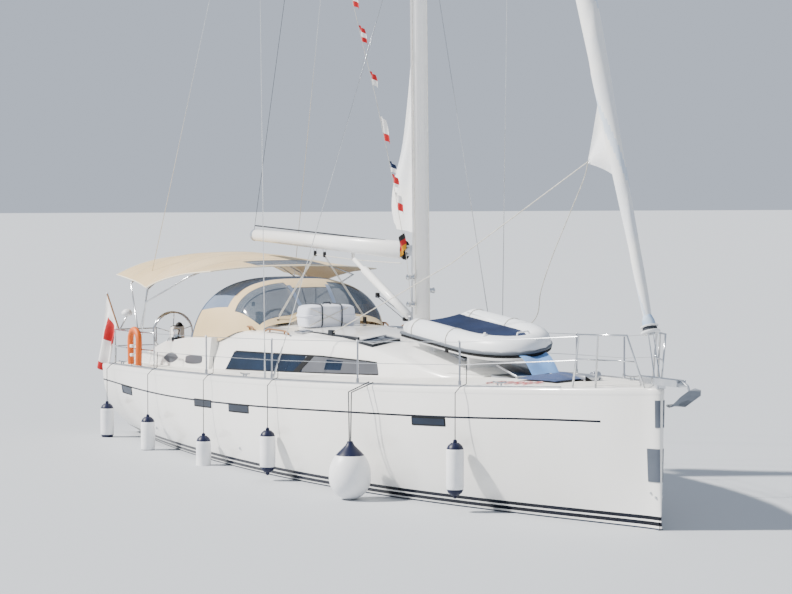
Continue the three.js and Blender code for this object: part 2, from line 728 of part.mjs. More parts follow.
// A back plate on the mast carries the gooseneck and vang brackets.
function mastBrackets() {
  const { x, z } = GOOSENECK;
  const { foot } = VANG;
  const inside = mastX(z);
  return cut(join(
    block(x - 10, inside, -60, 60, z + 50, z + 80),
    block(x - 10, inside, -60, 60, z - 80, z - 50),
    block(x + 70, inside, -60, 60, z - 80, z + 80),
    block(x + 110, inside, -45, 45, foot.z - 80, z + 80),
    block(foot.x + 75, inside, -50, 50, foot.z - 80, foot.z + 60),
    block(foot.x - 30, inside, -50, 50, foot.z - 80, foot.z - 56),
  ), mastTube(SEAT_GAP));
}

function buildVang() {
  const { foot, head, tube: tubeRadius, rod, overlap } = VANG;
  const along = head.clone().sub(foot).normalize();
  const length = head.distanceTo(foot);
  const at = (distance) => foot.clone().addScaledVector(along, distance);
  const lower = join(
    bar(at(90), at(length - 420), tubeRadius, 12),
    bar(at(0), at(110), 18, 8),
    bar(v(foot.x, -21 + SEAT_GAP, foot.z), v(foot.x, 21 - SEAT_GAP, foot.z), 20, 12),
  );
  const cheeks = [-1, 1].map((side) => block(
    foot.x - 24, foot.x + 24, side * 30 - 9, side * 30 + 9, foot.z - 50, foot.z + 20,
  ));
  const base = block(foot.x - 24, foot.x + 24, -39, 39, foot.z - 50, foot.z - 30);
  const pin = bar(v(foot.x, 0, foot.z - 56 + SEAT_GAP), v(foot.x, 0, foot.z - 48), 10, 12);
  addPart('vang_toggle', join(...cheeks, base, pin), 'aluminium');
  const hollow = bar(at(length - overlap), at(length - 300), rod + 0.4, 12);
  addPart('vang_tube', cut(lower, hollow), 'whiteMetal');
  addPart('vang_rod', bar(at(length - overlap + 60), at(length - 48), rod, 12), 'whiteMetal');
}

// Furled headsail and the sail left out of the mast slot

const FORESTAY = { foot: v(7100, 0, 1870), head: v(690, 0, 19900) };

function onForestay(z) {
  const share = (z - FORESTAY.foot.z) / (FORESTAY.head.z - FORESTAY.foot.z);
  return FORESTAY.foot.clone().lerp(FORESTAY.head, share);
}

function buildHeadsail() {
  const along = FORESTAY.head.clone().sub(FORESTAY.foot).normalize();
  const side = v(0, 1, 0);
  const up = side.clone().cross(along);
  // Columns: height and radius of the roll.
  const rows = [[2560, 45], [2800, 60], [3600, 76], [4600, 98], [6700, 135], [9500, 115], [14000, 80], [19300, 40]];
  const roll = loft(rows.map(([z, r]) => ringAround(onForestay(z), side, up, r, r, 12)));
  const top = onForestay(5650);
  const foot = onForestay(4330);
  const clew = v(5450, 0, 4600);
  const flap = loft([-5, 5].map((y) => [
    v(top.x, y, top.z), v(foot.x, y, foot.z), v(clew.x, y, clew.z - 30), v(clew.x, y, clew.z + 40),
  ]));
  const drum = [[2440, 70], [2440, 125], [2465, 125], [2466, 75], [2520, 75], [2521, 115], [2540, 115], [2541, 60]];
  const spool = loft(drum.map(([z, r]) => ringAround(onForestay(z), side, up, r, r, 16)));
  const foil = bar(onForestay(2535), onForestay(2570), 30, 8);
  addPart('headsail_furled', join(roll, flap, spool, foil), 'sailcloth');
}

function furlerLinks() {
  const along = FORESTAY.head.clone().sub(FORESTAY.foot).normalize();
  const side = v(0, 1, 0);
  const up = side.clone().cross(along);
  const links = [-1, 1].map((s) => bar(
    v(FORESTAY.foot.x - 5, s * 38, 1700), onForestay(2438).add(v(0, s * 38, 0)), 9, 6,
  ));
  const plate = loft([2432, 2440 - SEAT_GAP].map((z) => ringAround(onForestay(z), side, up, 60, 60, 10)));
  return join(...links, plate);
}

function buildMainsail() {
  const face = MAST.halfLength * Math.cos(Math.PI / 14);
  const slot = (z) => mastX(z) - face - SEAT_GAP;
  const outline = [
    [slot(3590), 3590], [slot(6400), 6400], [slot(6400) - 20, 6400], [slot(5580) - 180, 5580],
    [slot(4810) - 400, 4810], [slot(4225) - 690, 4225], [slot(3930) - 720, 3930], [slot(3650) - 600, 3650],
    [slot(3590) - 560, 3590],
  ];
  addPart('mainsail_clew', prismXZ(outline, -5, 5), 'sailcloth');
}

function buildShrouds() {
  const mastSide = (z, y) => v(mastX(z), y, z);
  const anchor = (x, y) => v(x, y, deckHeight(x, y) - 40);
  const cap = tube([
    anchor(CHAINPLATE.x, -CHAINPLATE.y),
    spreaderTip(SPREADERS[0], -1).add(v(0, -28, 0)),
    spreaderTip(SPREADERS[1], -1).add(v(0, -28, 0)),
    mastSide(19850, -MAST.halfWidth * 0.82 - 8),
  ], WIRE_RADIUS, 6);
  const lower = bar(anchor(CHAINPLATE.x + 40, -CHAINPLATE.y + 110), mastSide(8450, -MAST.halfWidth - 8), WIRE_RADIUS, 6);
  const stay = bar(...BACKSTAY, WIRE_RADIUS, 6);
  const wires = { cap_shroud: cap, lower_shroud: lower, backstay: stay };
  for (const [name, geometry] of Object.entries(wires)) {
    addPair(name, geometry, 'stainless');
  }
}

// Rails

// A piece on each side that stands on the deck
function addPair(name, geometry, finishName) {
  const deck = deckEnvelope();
  addPart(`${name}_stbd`, cut(geometry, deck), finishName);
  addPart(`${name}_port`, cut(mirrored(geometry), deck), finishName);
}

const STANCHIONS = [4360, 2370, 110, -2200];
const STANCHION_HEIGHT = 610;
const TOE_RAIL = { front: 5900, back: -6900, inset: 45, width: 26, height: 34 };

function railPlace(x, inset) {
  return halfBeam(x) - inset;
}

function toeRailBody(grow) {
  const { front, back, inset, width, height } = TOE_RAIL;
  const half = width / 2 + grow;
  const places = STATIONS.map((row) => BOW_X - row[0]).filter((x) => x < front && x > back);
  return loft([front, ...places, back].map((x) => {
    const y = -railPlace(x, inset);
    const low = sheerHeight(x) - 60;
    const top = sheerHeight(x) + height + grow;
    return [v(x, y - half, low), v(x, y + half, low), v(x, y + half, top), v(x, y - half, top)];
  }));
}

function buildSideRails() {
  const { inset } = TOE_RAIL;
  const pieces = [toeRailBody(0)];
  for (const x of STANCHIONS) {
    const y = -railPlace(x, inset + 10);
    const z = sheerHeight(x);
    pieces.push(bar(v(x, y, z - 40), v(x, y, z + STANCHION_HEIGHT), RAIL_RADIUS, 8));
    pieces.push(bar(v(x, y, z - 40), v(x, y, z + 90), RAIL_RADIUS + 8, 8));
  }
  addPair('toe_rail', join(...pieces), 'aluminium');
}

function buildPulpit() {
  const aft = v(6170, -590, 2400);
  const fore = v(6800, -290, 2415);
  const foot = v(6960, -110, 1700);
  const mid = (from, to, z) => from.clone().lerp(to, (z - from.z) / (to.z - from.z));
  const legs = [
    tube([v(6040, -610, 1690), aft, fore, foot], RAIL_RADIUS, 8),
    bar(v(6360, -470, 1690), v(6420, -470, 2405), RAIL_RADIUS, 8),
    bar(mid(v(6040, -610, 1690), aft, 2090), mid(fore, foot, 2090), RAIL_RADIUS - 3, 8),
  ];
  addPair('pulpit', join(...legs), 'stainless');
}

const PUSHPIT = { front: -4640, corner: -6880, aft: -7020, inner: 980, rise: 600 };

function buildPushpit() {
  const { front, corner, aft, inner, rise } = PUSHPIT;
  const top = (x, y) => v(x, y, sheerHeight(x) + rise);
  const foot = (x, y) => v(x, y, sheerHeight(x) - 20);
  const lower = (point) => point.clone().add(v(0, 0, -290));
  const outer = (x) => -railPlace(x, 110);
  const run = [top(front, outer(front)), top(-5800, outer(-5800)), top(corner, outer(corner) + 40),
    top(aft, outer(aft) + 150), top(aft, -inner)];
  const pieces = [
    tube([foot(front, outer(front)), ...run, foot(aft, -inner)], RAIL_RADIUS, 8),
    tube(run.map(lower), RAIL_RADIUS - 3, 8),
    bar(foot(-5800, outer(-5800)), top(-5800, outer(-5800)), RAIL_RADIUS, 8),
    bar(foot(corner, outer(corner) + 40), top(corner, outer(corner) + 40), RAIL_RADIUS, 8),
  ];
  const half = join(...pieces);
  const deck = deckEnvelope();
  addPart('pushpit_stbd', cut(join(half, sternGear()), deck), 'stainless');
  addPart('pushpit_port', cut(mirrored(half), deck), 'stainless');
}

// Bow fitting and anchor

function buildBow() {
  const channel = cut(
    block(6750, 7560, -70, 70, 1815, 1900),
    block(6700, 7600, -52, 52, 1840, 2000),
    block(6990, 7170, -50, 50, 1800, 1900),
  );
  const wheel = bar(v(7510, -52, 1850), v(7510, 52, 1850), 30, 12);
  const seat = block(6750, 7140, -60, 60, 1700, 1830);
  const well = block(6990, 7170, -50, 50, 1650, 1900);
  const anvil = block(7040, 7140, -55, 55, 1700, 1835);
  const fitting = join(channel, wheel, cut(seat, well), anvil, furlerLinks());
  addPart('stem_fitting', cut(fitting, deckEnvelope()), 'stainless');
  const shank = tube([v(6650, 0, 1890), v(7560, 0, 1894.3), v(7700, 0, 1835), v(7752, 0, 1742)], 16, 8);
  // Columns: x, half width, height of the edges and height of the ridge.
  const fluke = loft([[7250, 12, 1560, 1580], [7480, 120, 1560, 1610], [7760, 150, 1720, 1765], [7850, 90, 1800, 1825]]
    .map(([x, half, edge, ridge]) => [v(x, -half, edge), v(x, 0, ridge), v(x, half, edge), v(x, 0, ridge - 24)]));
  addPart('anchor', join(shank, fluke), 'stainless');
  const windlass = join(
    block(5280, 5580, -120, 90, 1640, 1820),
    bar(v(5430, 80, 1800), v(5430, 190, 1800), 60, 14),
  );
  addPart('windlass', cut(windlass, deckEnvelope()), 'stainless');
}

// Steering

const WHEEL = { x: -6200, y: 1000, z: 1780, radius: 360, tilt: 8 };

function buildSteering() {
  const { x, y, z, radius, tilt } = WHEEL;
  const rim = torus(radius, 15, 24, 8);
  const spokes = [0, 1, 2, 3, 4].map((i) => {
    const turn = (2 * Math.PI * i) / 5 + Math.PI / 2;
    return bar(v(0, 20 * Math.cos(turn), 20 * Math.sin(turn)), v(0, radius * Math.cos(turn), radius * Math.sin(turn)), 8, 6);
  });
  const hub = bar(v(-25, 0, 0), v(40, 0, 0), 45, 12);
  const shaft = bar(v(30, 0, 0), v(85.4, 0, 0), 20, 12);
  const wheel = join(rim, hub, shaft, ...spokes);
  wheel.rotateY(THREE.MathUtils.degToRad(tilt));
  for (const [name, side] of [['stbd', -1], ['port', 1]]) {
    addPart(`wheel_${name}`, wheel.clone().translate(x, side * y, z), 'stainless');
  }
}

function pedestal(side) {
  const { x, y, z } = WHEEL;
  const centre = side * y;
  const floor = COCKPIT.sole - 10;
  return loft([
    [v(x + 60, centre - 110, floor), v(x + 330, centre - 110, floor),
      v(x + 330, centre + 110, floor), v(x + 60, centre + 110, floor)],
    [v(x + 90, centre - 100, z + 90), v(x + 260, centre - 100, z + 130),
      v(x + 260, centre + 100, z + 130), v(x + 90, centre + 100, z + 90)],
  ]);
}

function torus(radius, thickness, around, sides) {
  const ring = new THREE.TorusGeometry(radius, thickness, sides, around);
  ring.rotateY(Math.PI / 2);
  return ring;
}

// Cockpit table

const TABLE = { x0: -5250, x1: -4200, half: 110, top: 1560, leaf: 330 };

function buildTable() {
  const { x0, x1, half, top, leaf } = TABLE;
  const floor = COCKPIT.sole + SEAT_GAP;
  addPart('cockpit_table', join(
    block(x0, x1, -half, half, top - 160, top),
    block(x0, x1, -half - 30, -half + 5, top - leaf, top),
    block(x0, x1, half - 5, half + 30, top - leaf, top),
    block(x0 + 60, x0 + 220, -half + 30, half - 30, floor, top - 100),
    block(x1 - 220, x1 - 60, -half + 30, half - 30, floor, top - 100),
  ), 'teak');
}

// Winches

// Places in x and y by what carries them
const WINCHES = {
  coaming: [[-5000, -1430], [-5000, 1430]],
  roof: [[-3150, -760], [-3150, 760]],
};

function winchDrum(x, y, z) {
  const profile = [[0, 85], [80, 85], [81, 60], [150, 52], [190, 66], [210, 66]];
  return loft(profile.map(([h, r]) => ringAround(v(x, y, z + h), v(1, 0, 0), v(0, 1, 0), r, r, 14)));
}

function coamingEnvelope() {
  return loft(COAMING.map(([x, width, top]) => [
    v(x, -width, 1000), v(x, -width + 90, top + SEAT_GAP), v(x, width - 90, top + SEAT_GAP), v(x, width, 1000),
  ]));
}

// Canvas

function archRing(x, baseX, halfWidth, base, crown, floor, steps = 10) {
  const points = [];
  for (let i = 0; i <= steps; i += 1) {
    const turn = (Math.PI * i) / steps;
    const up = Math.sin(turn) ** 0.75;
    const across = -Math.sign(Math.cos(turn)) * Math.abs(Math.cos(turn)) ** 0.7;
    points.push(v(baseX + (x - baseX) * up, halfWidth * across, base + (crown - base) * up));
  }
  const low = points[0].clone().setZ(floor);
  const lowEnd = points[steps].clone().setZ(floor);
  return [low, ...points, lowEnd];
}

// Columns: crown x, base x, half width, base height and crown height.
const HOOD = [
  [-2330, -2330, 1080, 1990, 2150],
  [-2900, -2800, 1270, 2000, 2690],
  [-3450, -3500, 1370, 1900, 2810],
  [-3800, -4330, 1440, 1780, 2800],
];

function buildHood() {
  const skin = CANVAS;
  const outer = loft(HOOD.map(([x, baseX, half, base, crown]) => archRing(x, baseX, half, base, crown, 1500)));
  const inner = loft(HOOD.map(([x, baseX, half, base, crown], i) => {
    const shift = [-skin * 2, 0, 0, -60][i];
    return archRing(x + shift, baseX + shift, half - skin, base, crown - skin, 1400);
  }));
  const roof = roofBody(-SEAT_GAP, 1000, ROOF_AFT - 1, ROOF_NOSE);
  addPart('sprayhood', cut(outer, inner, roof, garage(SEAT_GAP), coamingEnvelope(), deckEnvelope()), 'canvas');
}

// Columns: x, half width, edge height and crown height.
const BIMINI = [
  [-3400, 1500, 2930, 3000],
  [-4300, 1550, 2830, 3090],
  [-5200, 1600, 2690, 3150],
  [-5900, 1620, 2570, 3170],
  [-6600, 1640, 2660, 3140],
  [-7250, 1620, 2760, 3080],
];

const CANVAS = 14;
const HOOP_FOOT = v(-6100, -1700, 1200);

function biminiRing([x, half, edge, crown], thickness) {
  const steps = 10;
  const top = Array.from({ length: steps + 1 }, (_, i) => {
    const share = -1 + (2 * i) / steps;
    return v(x, half * share, edge + (crown - edge) * (1 - Math.abs(share) ** 2.6));
  });
  const under = top.slice().reverse().map((point) => point.clone().add(v(0, 0, -thickness)));
  return top.concat(under);
}

function buildBimini() {
  const [foot, head] = BACKSTAY;
  const slot = bar(foot, head, 30, 8);
  addPart('bimini', cut(loft(BIMINI.map((row) => biminiRing(row, CANVAS))), slot, mirrored(slot)), 'canvas');
  const arch = (row) => biminiRing(row, CANVAS).slice(0, 11)
    .map((point) => point.clone().setY(point.y * 0.985).add(v(0, 0, -CANVAS - RAIL_RADIUS - SEAT_GAP)));
  const hoop = (start, row) => tube([start, ...arch(row), start.clone().setY(-start.y)], RAIL_RADIUS, 8);
  const legTop = arch(BIMINI[3])[0];
  const onLeg = (z) => HOOP_FOOT.clone().lerp(legTop, (z - HOOP_FOOT.z) / (legTop.z - HOOP_FOOT.z));
  const hoops = join(hoop(HOOP_FOOT, BIMINI[3]), hoop(onLeg(1580), BIMINI[4]), hoop(onLeg(2330), BIMINI[1]));
  const under = loft(BIMINI.map((row) => biminiRing(row, CANVAS + SEAT_GAP)));
  addPart('bimini_frame', cut(hoops, deckEnvelope(), under), 'stainless');
}

// Stowed gear

const RAFT = { x0: -1870, x1: -1410, y0: -740, y1: 140, height: 330 };

function buildRaft() {
  const { x0, x1, y0, y1, height } = RAFT;
  const z = roofHeight(x1, y0) - 40;
  const shape = new THREE.Shape();
  const r = 70;
  const w = x1 - x0;
  const h = height + 60;
  shape.absarc(w - r, r, r, -Math.PI / 2, 0).absarc(w - r, h - r, r, 0, Math.PI / 2);
  shape.absarc(r, h - r, r, Math.PI / 2, Math.PI).absarc(r, r, r, Math.PI, 1.5 * Math.PI);
  const geometry = new THREE.ExtrudeGeometry(shape, {
    depth: y1 - y0 - 80, bevelEnabled: true, bevelSize: 40, bevelThickness: 40, bevelOffset: -40, bevelSegments: 1, curveSegments: 3,
  });
  geometry.rotateX(Math.PI / 2);
  geometry.translate(x0, y1 - 40, z);
  addPart('liferaft', cut(geometry, roofEnvelope()), 'plastic');
}

const TENDER = { stern: 1420, bow: 3980, half: 470, tube: 175, sternZ: 2300, bowZ: 2090, heel: 7 };

function tenderZ(x) {
  return TENDER.sternZ + ((TENDER.bowZ - TENDER.sternZ) * (x - TENDER.stern)) / (TENDER.bow - TENDER.stern);
}

function buildTender() {
  const { stern, bow, half, tube: radius } = TENDER;
  const heel = THREE.MathUtils.degToRad(TENDER.heel);
  const [level, lean] = [Math.cos(heel), Math.sin(heel)];
  const at = (x, y, z = 0) => v(x, y * level - z * lean, tenderZ(x) + y * lean + z * level);
  const noseStart = bow - 900;
  const nose = [15, 35, 55, 75, 90].map((degrees) => {
    const turn = THREE.MathUtils.degToRad(degrees);
    return at(noseStart + 880 * Math.sin(turn), -half * Math.cos(turn));
  });
  const side = [at(stern + 260, -half), at(noseStart, -half), ...nose];
  const beside = side.map((p) => at(p.x, (tenderZ(p.x) - p.z) / lean));
  const route = side.concat(beside.slice(0, -1).reverse());
  const ringOf = (r) => join(tube(route, r, 12), ...[-1, 1].map((s) => bar(
    at(stern + 262, s * half), at(stern - 60, s * half), r, 12, r - 105,
  )));
  addPart('tender_tubes', ringOf(radius), 'plastic');
  const rows = [
    [stern + 150, half - 60, 2095],
    [2300, half - 60, 1985],
    [3100, half - 60, 1850],
    [3500, half - 170, 1905],
    [3830, 90, 2040],
  ];
  const hull = loft(rows.map(([x, w, keel]) => [
    at(x, -w, -20), at(x, -w, -80), at(x, 0, keel - tenderZ(x)), at(x, w, -80), at(x, w, -20),
  ]));
  const chocks = [1900, 2900].map((x) => block(x - 30, x + 30, -330, 330, 1600, tenderZ(x) - 160));
  const body = cut(join(hull, ...chocks), roofEnvelope(), deckEnvelope(), ringOf(radius + SEAT_GAP));
  addPart('tender_hull', body, 'plastic');
}

const LIFEBUOY = { x: -5430, y: -2012, foot: 1310, bend: 1710, half: 190, thickness: 55 };

function buildLifebuoy() {
  const { x, y, foot, bend, half, thickness } = LIFEBUOY;
  const arch = Array.from({ length: 11 }, (_, i) => {
    const turn = Math.PI * (1 - i / 10);
    return v(x + half * Math.cos(turn), y, bend + half * Math.sin(turn));
  });
  addPart('lifebuoy', tube([v(x - half + 20, y, foot), ...arch, v(x + half - 20, y, foot)], thickness, 8), 'orange');
}

function sternGear() {
  const staff = bar(STAFF.foot, STAFF.head, STAFF.radius, 8);
  const pole = bar(v(-6600, -1826, 1825), v(-6600, -1690, 2080), 14, 8);
  const profile = [[2070, 40], [2085, 90], [2130, 95], [2175, 60], [2190, 20]];
  const dome = loft(profile.map(([z, r]) => ringAround(v(-6600, -1690, z), v(1, 0, 0), v(0, 1, 0), r, r, 12)));
  return join(staff, pole, dome);
}

// The flag hangs in the upright plane of its staff. Outline in x and z.
const STAFF = { foot: v(-7018, -1672, 1790), head: v(-7420, -1740, 2420), radius: 14 };
const ENSIGN = [[-7418, 2390], [-7105, 1900], [-7190, 1060], [-7400, 1130], [-7510, 2050]];

function buildEnsign() {
  const { foot, head } = STAFF;
  const slope = (head.y - foot.y) / (head.x - foot.x);
  const flag = loft([-4, 4].map((half) => ENSIGN.map(([x, z]) => v(x, foot.y + slope * (x - foot.x) + half, z))));
  addPart('ensign', flag, 'flag');
}

// Fenders along the starboard side

// Columns: x, height of the top of the body, half diameter, body length.
const FENDERS = [
  [4500, 960, 118, 780],
  [310, 780, 115, 700],
  [-1900, 500, 115, 700],
  [-4300, 585, 115, 700],
  [-6500, 620, 115, 700],
];
const BALL = { x: 2720, top: 800, radius: 290 };

function lanyard(x, y, z, railY) {
  const knee = v(x, y, sheerHeight(x) - 20);
  const tie = v(x, -railY, sheerHeight(x) + 20);
  return cut(tube([v(x, y, z), knee, tie], 6, 6), toeRailBody(SEAT_GAP));
}

function buildFenders() {
  FENDERS.forEach(([x, top, radius, length], i) => {
    const y = -(halfBeam(x) + radius + 6);
    const body = loft([[0, 22], [-50, 40], [-110, radius], [-length + 90, radius], [-length + 20, 50], [-length, 22]]
      .map(([h, r]) => ringAround(v(x, y, top + h), v(1, 0, 0), v(0, 1, 0), r, r, 12)));
    addPart(`fender_${i + 1}`, join(body, lanyard(x, y, top - 20, halfBeam(x) - 45)), 'plastic');
  });
  const { x, top, radius } = BALL;
  const y = -(halfBeam(x) + radius + 6);
  const rows = [
    [0, 0.11], [-60, 0.16], [-120, 0.38], [-190, 0.66], [-270, 0.87], [-380, 0.99],
    [-520, 1], [-640, 0.87], [-740, 0.59], [-790, 0.24],
  ];
  const ball = loft(rows.map(([h, share]) => ringAround(
    v(x, y, top + h), v(1, 0, 0), v(0, 1, 0), radius * share, radius * share, 16,
  )));
  addPart('fender_ball', join(ball, lanyard(x, y, top - 20, halfBeam(x) - 45)), 'plastic');
}

buildHull();
buildDeck();
buildCoachroof();
buildHatches();
buildCockpit();
buildCompanionway();
buildTransomDoor();
buildKeel();
buildRudder();
buildDrive();
buildInside();
buildMast();
buildBoom();
buildVang();
buildHeadsail();
buildMainsail();
buildSheet();
buildShrouds();
buildSideRails();
buildPulpit();
buildPushpit();
buildBow();
buildSteering();
buildTable();
buildHood();
buildBimini();
buildRaft();
buildTender();
buildLifebuoy();
buildEnsign();
buildFenders();

export default yacht;
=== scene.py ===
"""A cruising sloop of about 14.3 m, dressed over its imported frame.

Everything is in metres. X points to the bow, Y to port and Z up. The origin is amidships on the waterline.
"""
import json
import logging
import math
from dataclasses import dataclass
from enum import Enum
from typing import Callable, Iterable, Optional, Sequence

import bmesh
import bpy
from mathutils import Matrix, Vector

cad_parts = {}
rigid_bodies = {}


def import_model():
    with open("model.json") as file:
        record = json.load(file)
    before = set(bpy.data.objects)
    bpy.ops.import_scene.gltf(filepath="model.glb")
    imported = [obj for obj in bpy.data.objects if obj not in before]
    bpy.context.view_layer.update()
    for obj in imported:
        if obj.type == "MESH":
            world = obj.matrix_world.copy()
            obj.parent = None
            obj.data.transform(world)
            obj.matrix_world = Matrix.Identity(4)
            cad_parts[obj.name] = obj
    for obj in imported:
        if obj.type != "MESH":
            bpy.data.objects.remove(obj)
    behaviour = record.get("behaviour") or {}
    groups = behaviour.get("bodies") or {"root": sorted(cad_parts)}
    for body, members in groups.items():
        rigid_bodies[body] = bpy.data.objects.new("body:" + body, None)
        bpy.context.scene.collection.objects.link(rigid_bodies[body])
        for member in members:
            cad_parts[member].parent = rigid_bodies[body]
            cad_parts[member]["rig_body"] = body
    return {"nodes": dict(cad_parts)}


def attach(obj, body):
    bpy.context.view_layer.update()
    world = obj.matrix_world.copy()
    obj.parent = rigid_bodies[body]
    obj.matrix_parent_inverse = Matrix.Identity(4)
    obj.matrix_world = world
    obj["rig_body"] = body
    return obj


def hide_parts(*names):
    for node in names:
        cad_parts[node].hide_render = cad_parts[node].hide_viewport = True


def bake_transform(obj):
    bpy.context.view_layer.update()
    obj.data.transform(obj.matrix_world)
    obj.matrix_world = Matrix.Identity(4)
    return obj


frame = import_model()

LOG = logging.getLogger("sloop")
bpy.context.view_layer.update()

Obj = bpy.types.Object
Pt = Sequence[float]
Pts = Sequence[Pt]


# Colour and shader nodes


def linear(code: str) -> tuple[float, float, float, float]:
    """Turn an sRGB hex colour into linear light.

    Args:
        code: Colour such as "#f0eeea".

    Returns:
        Linear red, green, blue and full alpha.
    """
    shares = [int(code[i:i + 2], 16) / 255 for i in (1, 3, 5)]
    light = [c / 12.92 if c <= 0.04045 else ((c + 0.055) / 1.055) ** 2.4 for c in shares]
    return (light[0], light[1], light[2], 1.0)


def add_node(tree: bpy.types.NodeTree, kind: str, inputs: Optional[dict] = None, **settings: object) -> bpy.types.Node:
    """Add a shader node with its settings, values and links.

    Args:
        tree: Node tree of the material.
        kind: Node type without its ShaderNode prefix.
        inputs: Values or linked sockets by input name or number.
        settings: Attributes of the node.

    Returns:
        The new node.
    """
    made = tree.nodes.new(f"ShaderNode{kind}")
    for key, value in settings.items():
        setattr(made, key, value)
    for key, value in (inputs or {}).items():
        if isinstance(value, bpy.types.NodeSocket):
            tree.links.new(value, made.inputs[key])
        else:
            made.inputs[key].default_value = value
    return made


# Finishes


class Grain(Enum):
    """How a surface was made, which gives its fine relief."""

    MOULDED = "moulded"
    GRIT = "grit"
    BRUSHED = "brushed"
    CAST = "cast"
    WOVEN = "woven"
    PLANKED = "planked"
    BRAIDED = "braided"


@dataclass(frozen=True)
class Finish:
    """One real material and how its surface was made."""

    name: str
    slot: str
    colour: str
    second: str
    roughness: float
    grain: Grain = Grain.MOULDED
    pitch: float = 0.004
    depth: float = 0.0004
    mottle: float = 1.5
    metallic: float = 0.0
    ior: float = 1.5
    coat: float = 0.0
    sheen: float = 0.0
    alpha: float = 1.0
    stretch: tuple[float, float, float] = (1.0, 1.0, 1.0)

    def relief(self, tree: bpy.types.NodeTree, place: bpy.types.NodeSocket) -> bpy.types.NodeSocket:
        """Height of the fine relief.

        Args:
            tree: Node tree of the material.
            place: Object coordinates.

        Returns:
            Socket with the height.
        """
        if self.grain in (Grain.WOVEN, Grain.BRAIDED):
            threads = [
                add_node(tree, "TexWave", {"Vector": place, "Scale": 1 / self.pitch / 3.2},
                         bands_direction=way, wave_profile="SIN").outputs["Fac"]
                for way in ("X", "Y", "Z")
            ]
            pair = add_node(tree, "Math", {0: threads[0], 1: threads[1]}, operation="ADD")
            return add_node(tree, "Math", {0: pair.outputs[0], 1: threads[2]}, operation="ADD").outputs[0]
        if self.grain == Grain.BRUSHED:
            drawn = add_node(tree, "Mapping", {"Vector": place, "Scale": (1.0, 1.0, 24.0)})
            return add_node(tree, "TexNoise", {"Vector": drawn.outputs[0], "Scale": 1 / self.pitch / 8}).outputs["Fac"]
        detail = 5.0 if self.grain == Grain.CAST else 2.0
        return add_node(tree, "TexNoise", {"Vector": place, "Scale": 1 / self.pitch, "Detail": detail}).outputs["Fac"]

    def make(self) -> bpy.types.Material:
        """Build the material, or give the one already made.

        Returns:
            The finished material.
        """
        known = bpy.data.materials.get(self.name)
        if known:
            return known
        material = bpy.data.materials.new(self.name)
        material.use_nodes = True
        tree = material.node_tree
        tree.nodes.clear()
        place = add_node(tree, "TexCoord").outputs["Object"]
        wide = add_node(tree, "Mapping", {"Vector": place, "Scale": self.stretch}).outputs[0]
        cloud = add_node(tree, "TexNoise", {"Vector": wide, "Scale": self.mottle, "Detail": 4.0}).outputs["Fac"]
        share = add_node(tree, "MapRange", {"Value": cloud, "From Min": 0.35, "From Max": 0.7}).outputs[0]
        tint = add_node(tree, "Mix", {0: share, 6: linear(self.colour), 7: linear(self.second)}, data_type="RGBA")
        colour = tint.outputs[2]
        height = self.relief(tree, place)
        if self.grain == Grain.PLANKED:
            across = add_node(tree, "SeparateXYZ", {"Vector": place}).outputs["Y"]
            step = add_node(tree, "Math", {0: across, 1: self.pitch}, operation="PINGPONG").outputs[0]
            seam = add_node(tree, "Math", {0: step, 1: self.pitch * 0.1}, operation="LESS_THAN").outputs[0]
            colour = add_node(tree, "Mix", {0: seam, 6: colour, 7: linear("#2a2622")}, data_type="RGBA").outputs[2]
        bump = add_node(tree, "Bump", {"Height": height, "Strength": 0.6, "Distance": self.depth})
        gloss = add_node(tree, "MapRange", {
            "Value": cloud, "To Min": self.roughness * 0.85, "To Max": min(1.0, self.roughness * 1.2),
        }).outputs[0]
        shader = add_node(tree, "BsdfPrincipled", {
            "Base Color": colour, "Roughness": gloss, "Normal": bump.outputs[0], "Metallic": self.metallic,
            "IOR": self.ior, "Coat Weight": self.coat, "Sheen Weight": self.sheen, "Alpha": self.alpha,
        })
        out = add_node(tree, "OutputMaterial")
        tree.links.new(shader.outputs[0], out.inputs[0])
        return material


# Polyester gelcoat sprayed in a polished mould: near-white, glossy, with a faint long-wave unevenness.
GELCOAT = Finish("polished_gelcoat", "gelcoat", "#f4f3f0", "#eceae5", 0.16, pitch=0.02, depth=0.0002, mottle=0.6,
                 coat=0.4)
# Gelcoat moulded with a non-slip diamond: the same white, matt, with grit drawn at 5 mm.
NONSLIP = Finish("nonslip_gelcoat", "gelcoat", "#e9e7e2", "#dedbd4", 0.6, Grain.GRIT, 0.005, 0.0008, 2.0)
# Navy gelcoat band laid in the mould.
NAVY = Finish("navy_gelcoat", "gelcoat", "#0b0f1a", "#111727", 0.25, pitch=0.02, depth=0.0002, ior=1.3)
# Copper bottom paint rolled on: matt, chalky, scuffed along the waterline.
BOTTOM = Finish("rolled_bottom_paint", "bottom_paint", "#18233a", "#2b3346", 0.85, Grain.CAST, 0.03, 0.001, 1.2)
# Clear-anodised extruded aluminium: satin grey with fine draw lines.
ALUMINIUM = Finish("anodised_aluminium", "aluminium", "#c6c8cc", "#b1b4ba", 0.34, Grain.BRUSHED, 0.003, 0.0002, 4.0,
                   1.0)
# Black-anodised aluminium of tracks and blocks.
BLACK_ALLOY = Finish("black_anodised", "aluminium", "#23262b", "#30343a", 0.4, Grain.BRUSHED, 0.003, 0.0002, 4.0, 0.6)
# Two-part paint over an extruded spar: cool white with a satin gloss.
SPAR_WHITE = Finish("painted_spar", "white_spar", "#f7f6f3", "#ebecee", 0.3, pitch=0.01, depth=0.0002, mottle=0.5,
                    coat=0.2)
PAD_GREY = Finish("grey_pad", "white_plastic", "#454c58", "#59616d", 0.5, pitch=0.01, depth=0.0006, mottle=2.0)
SPAR_GREY = Finish("painted_spar_shade", "white_spar", "#8f98a6", "#7c8695", 0.35, pitch=0.01, depth=0.0002, mottle=0.5)
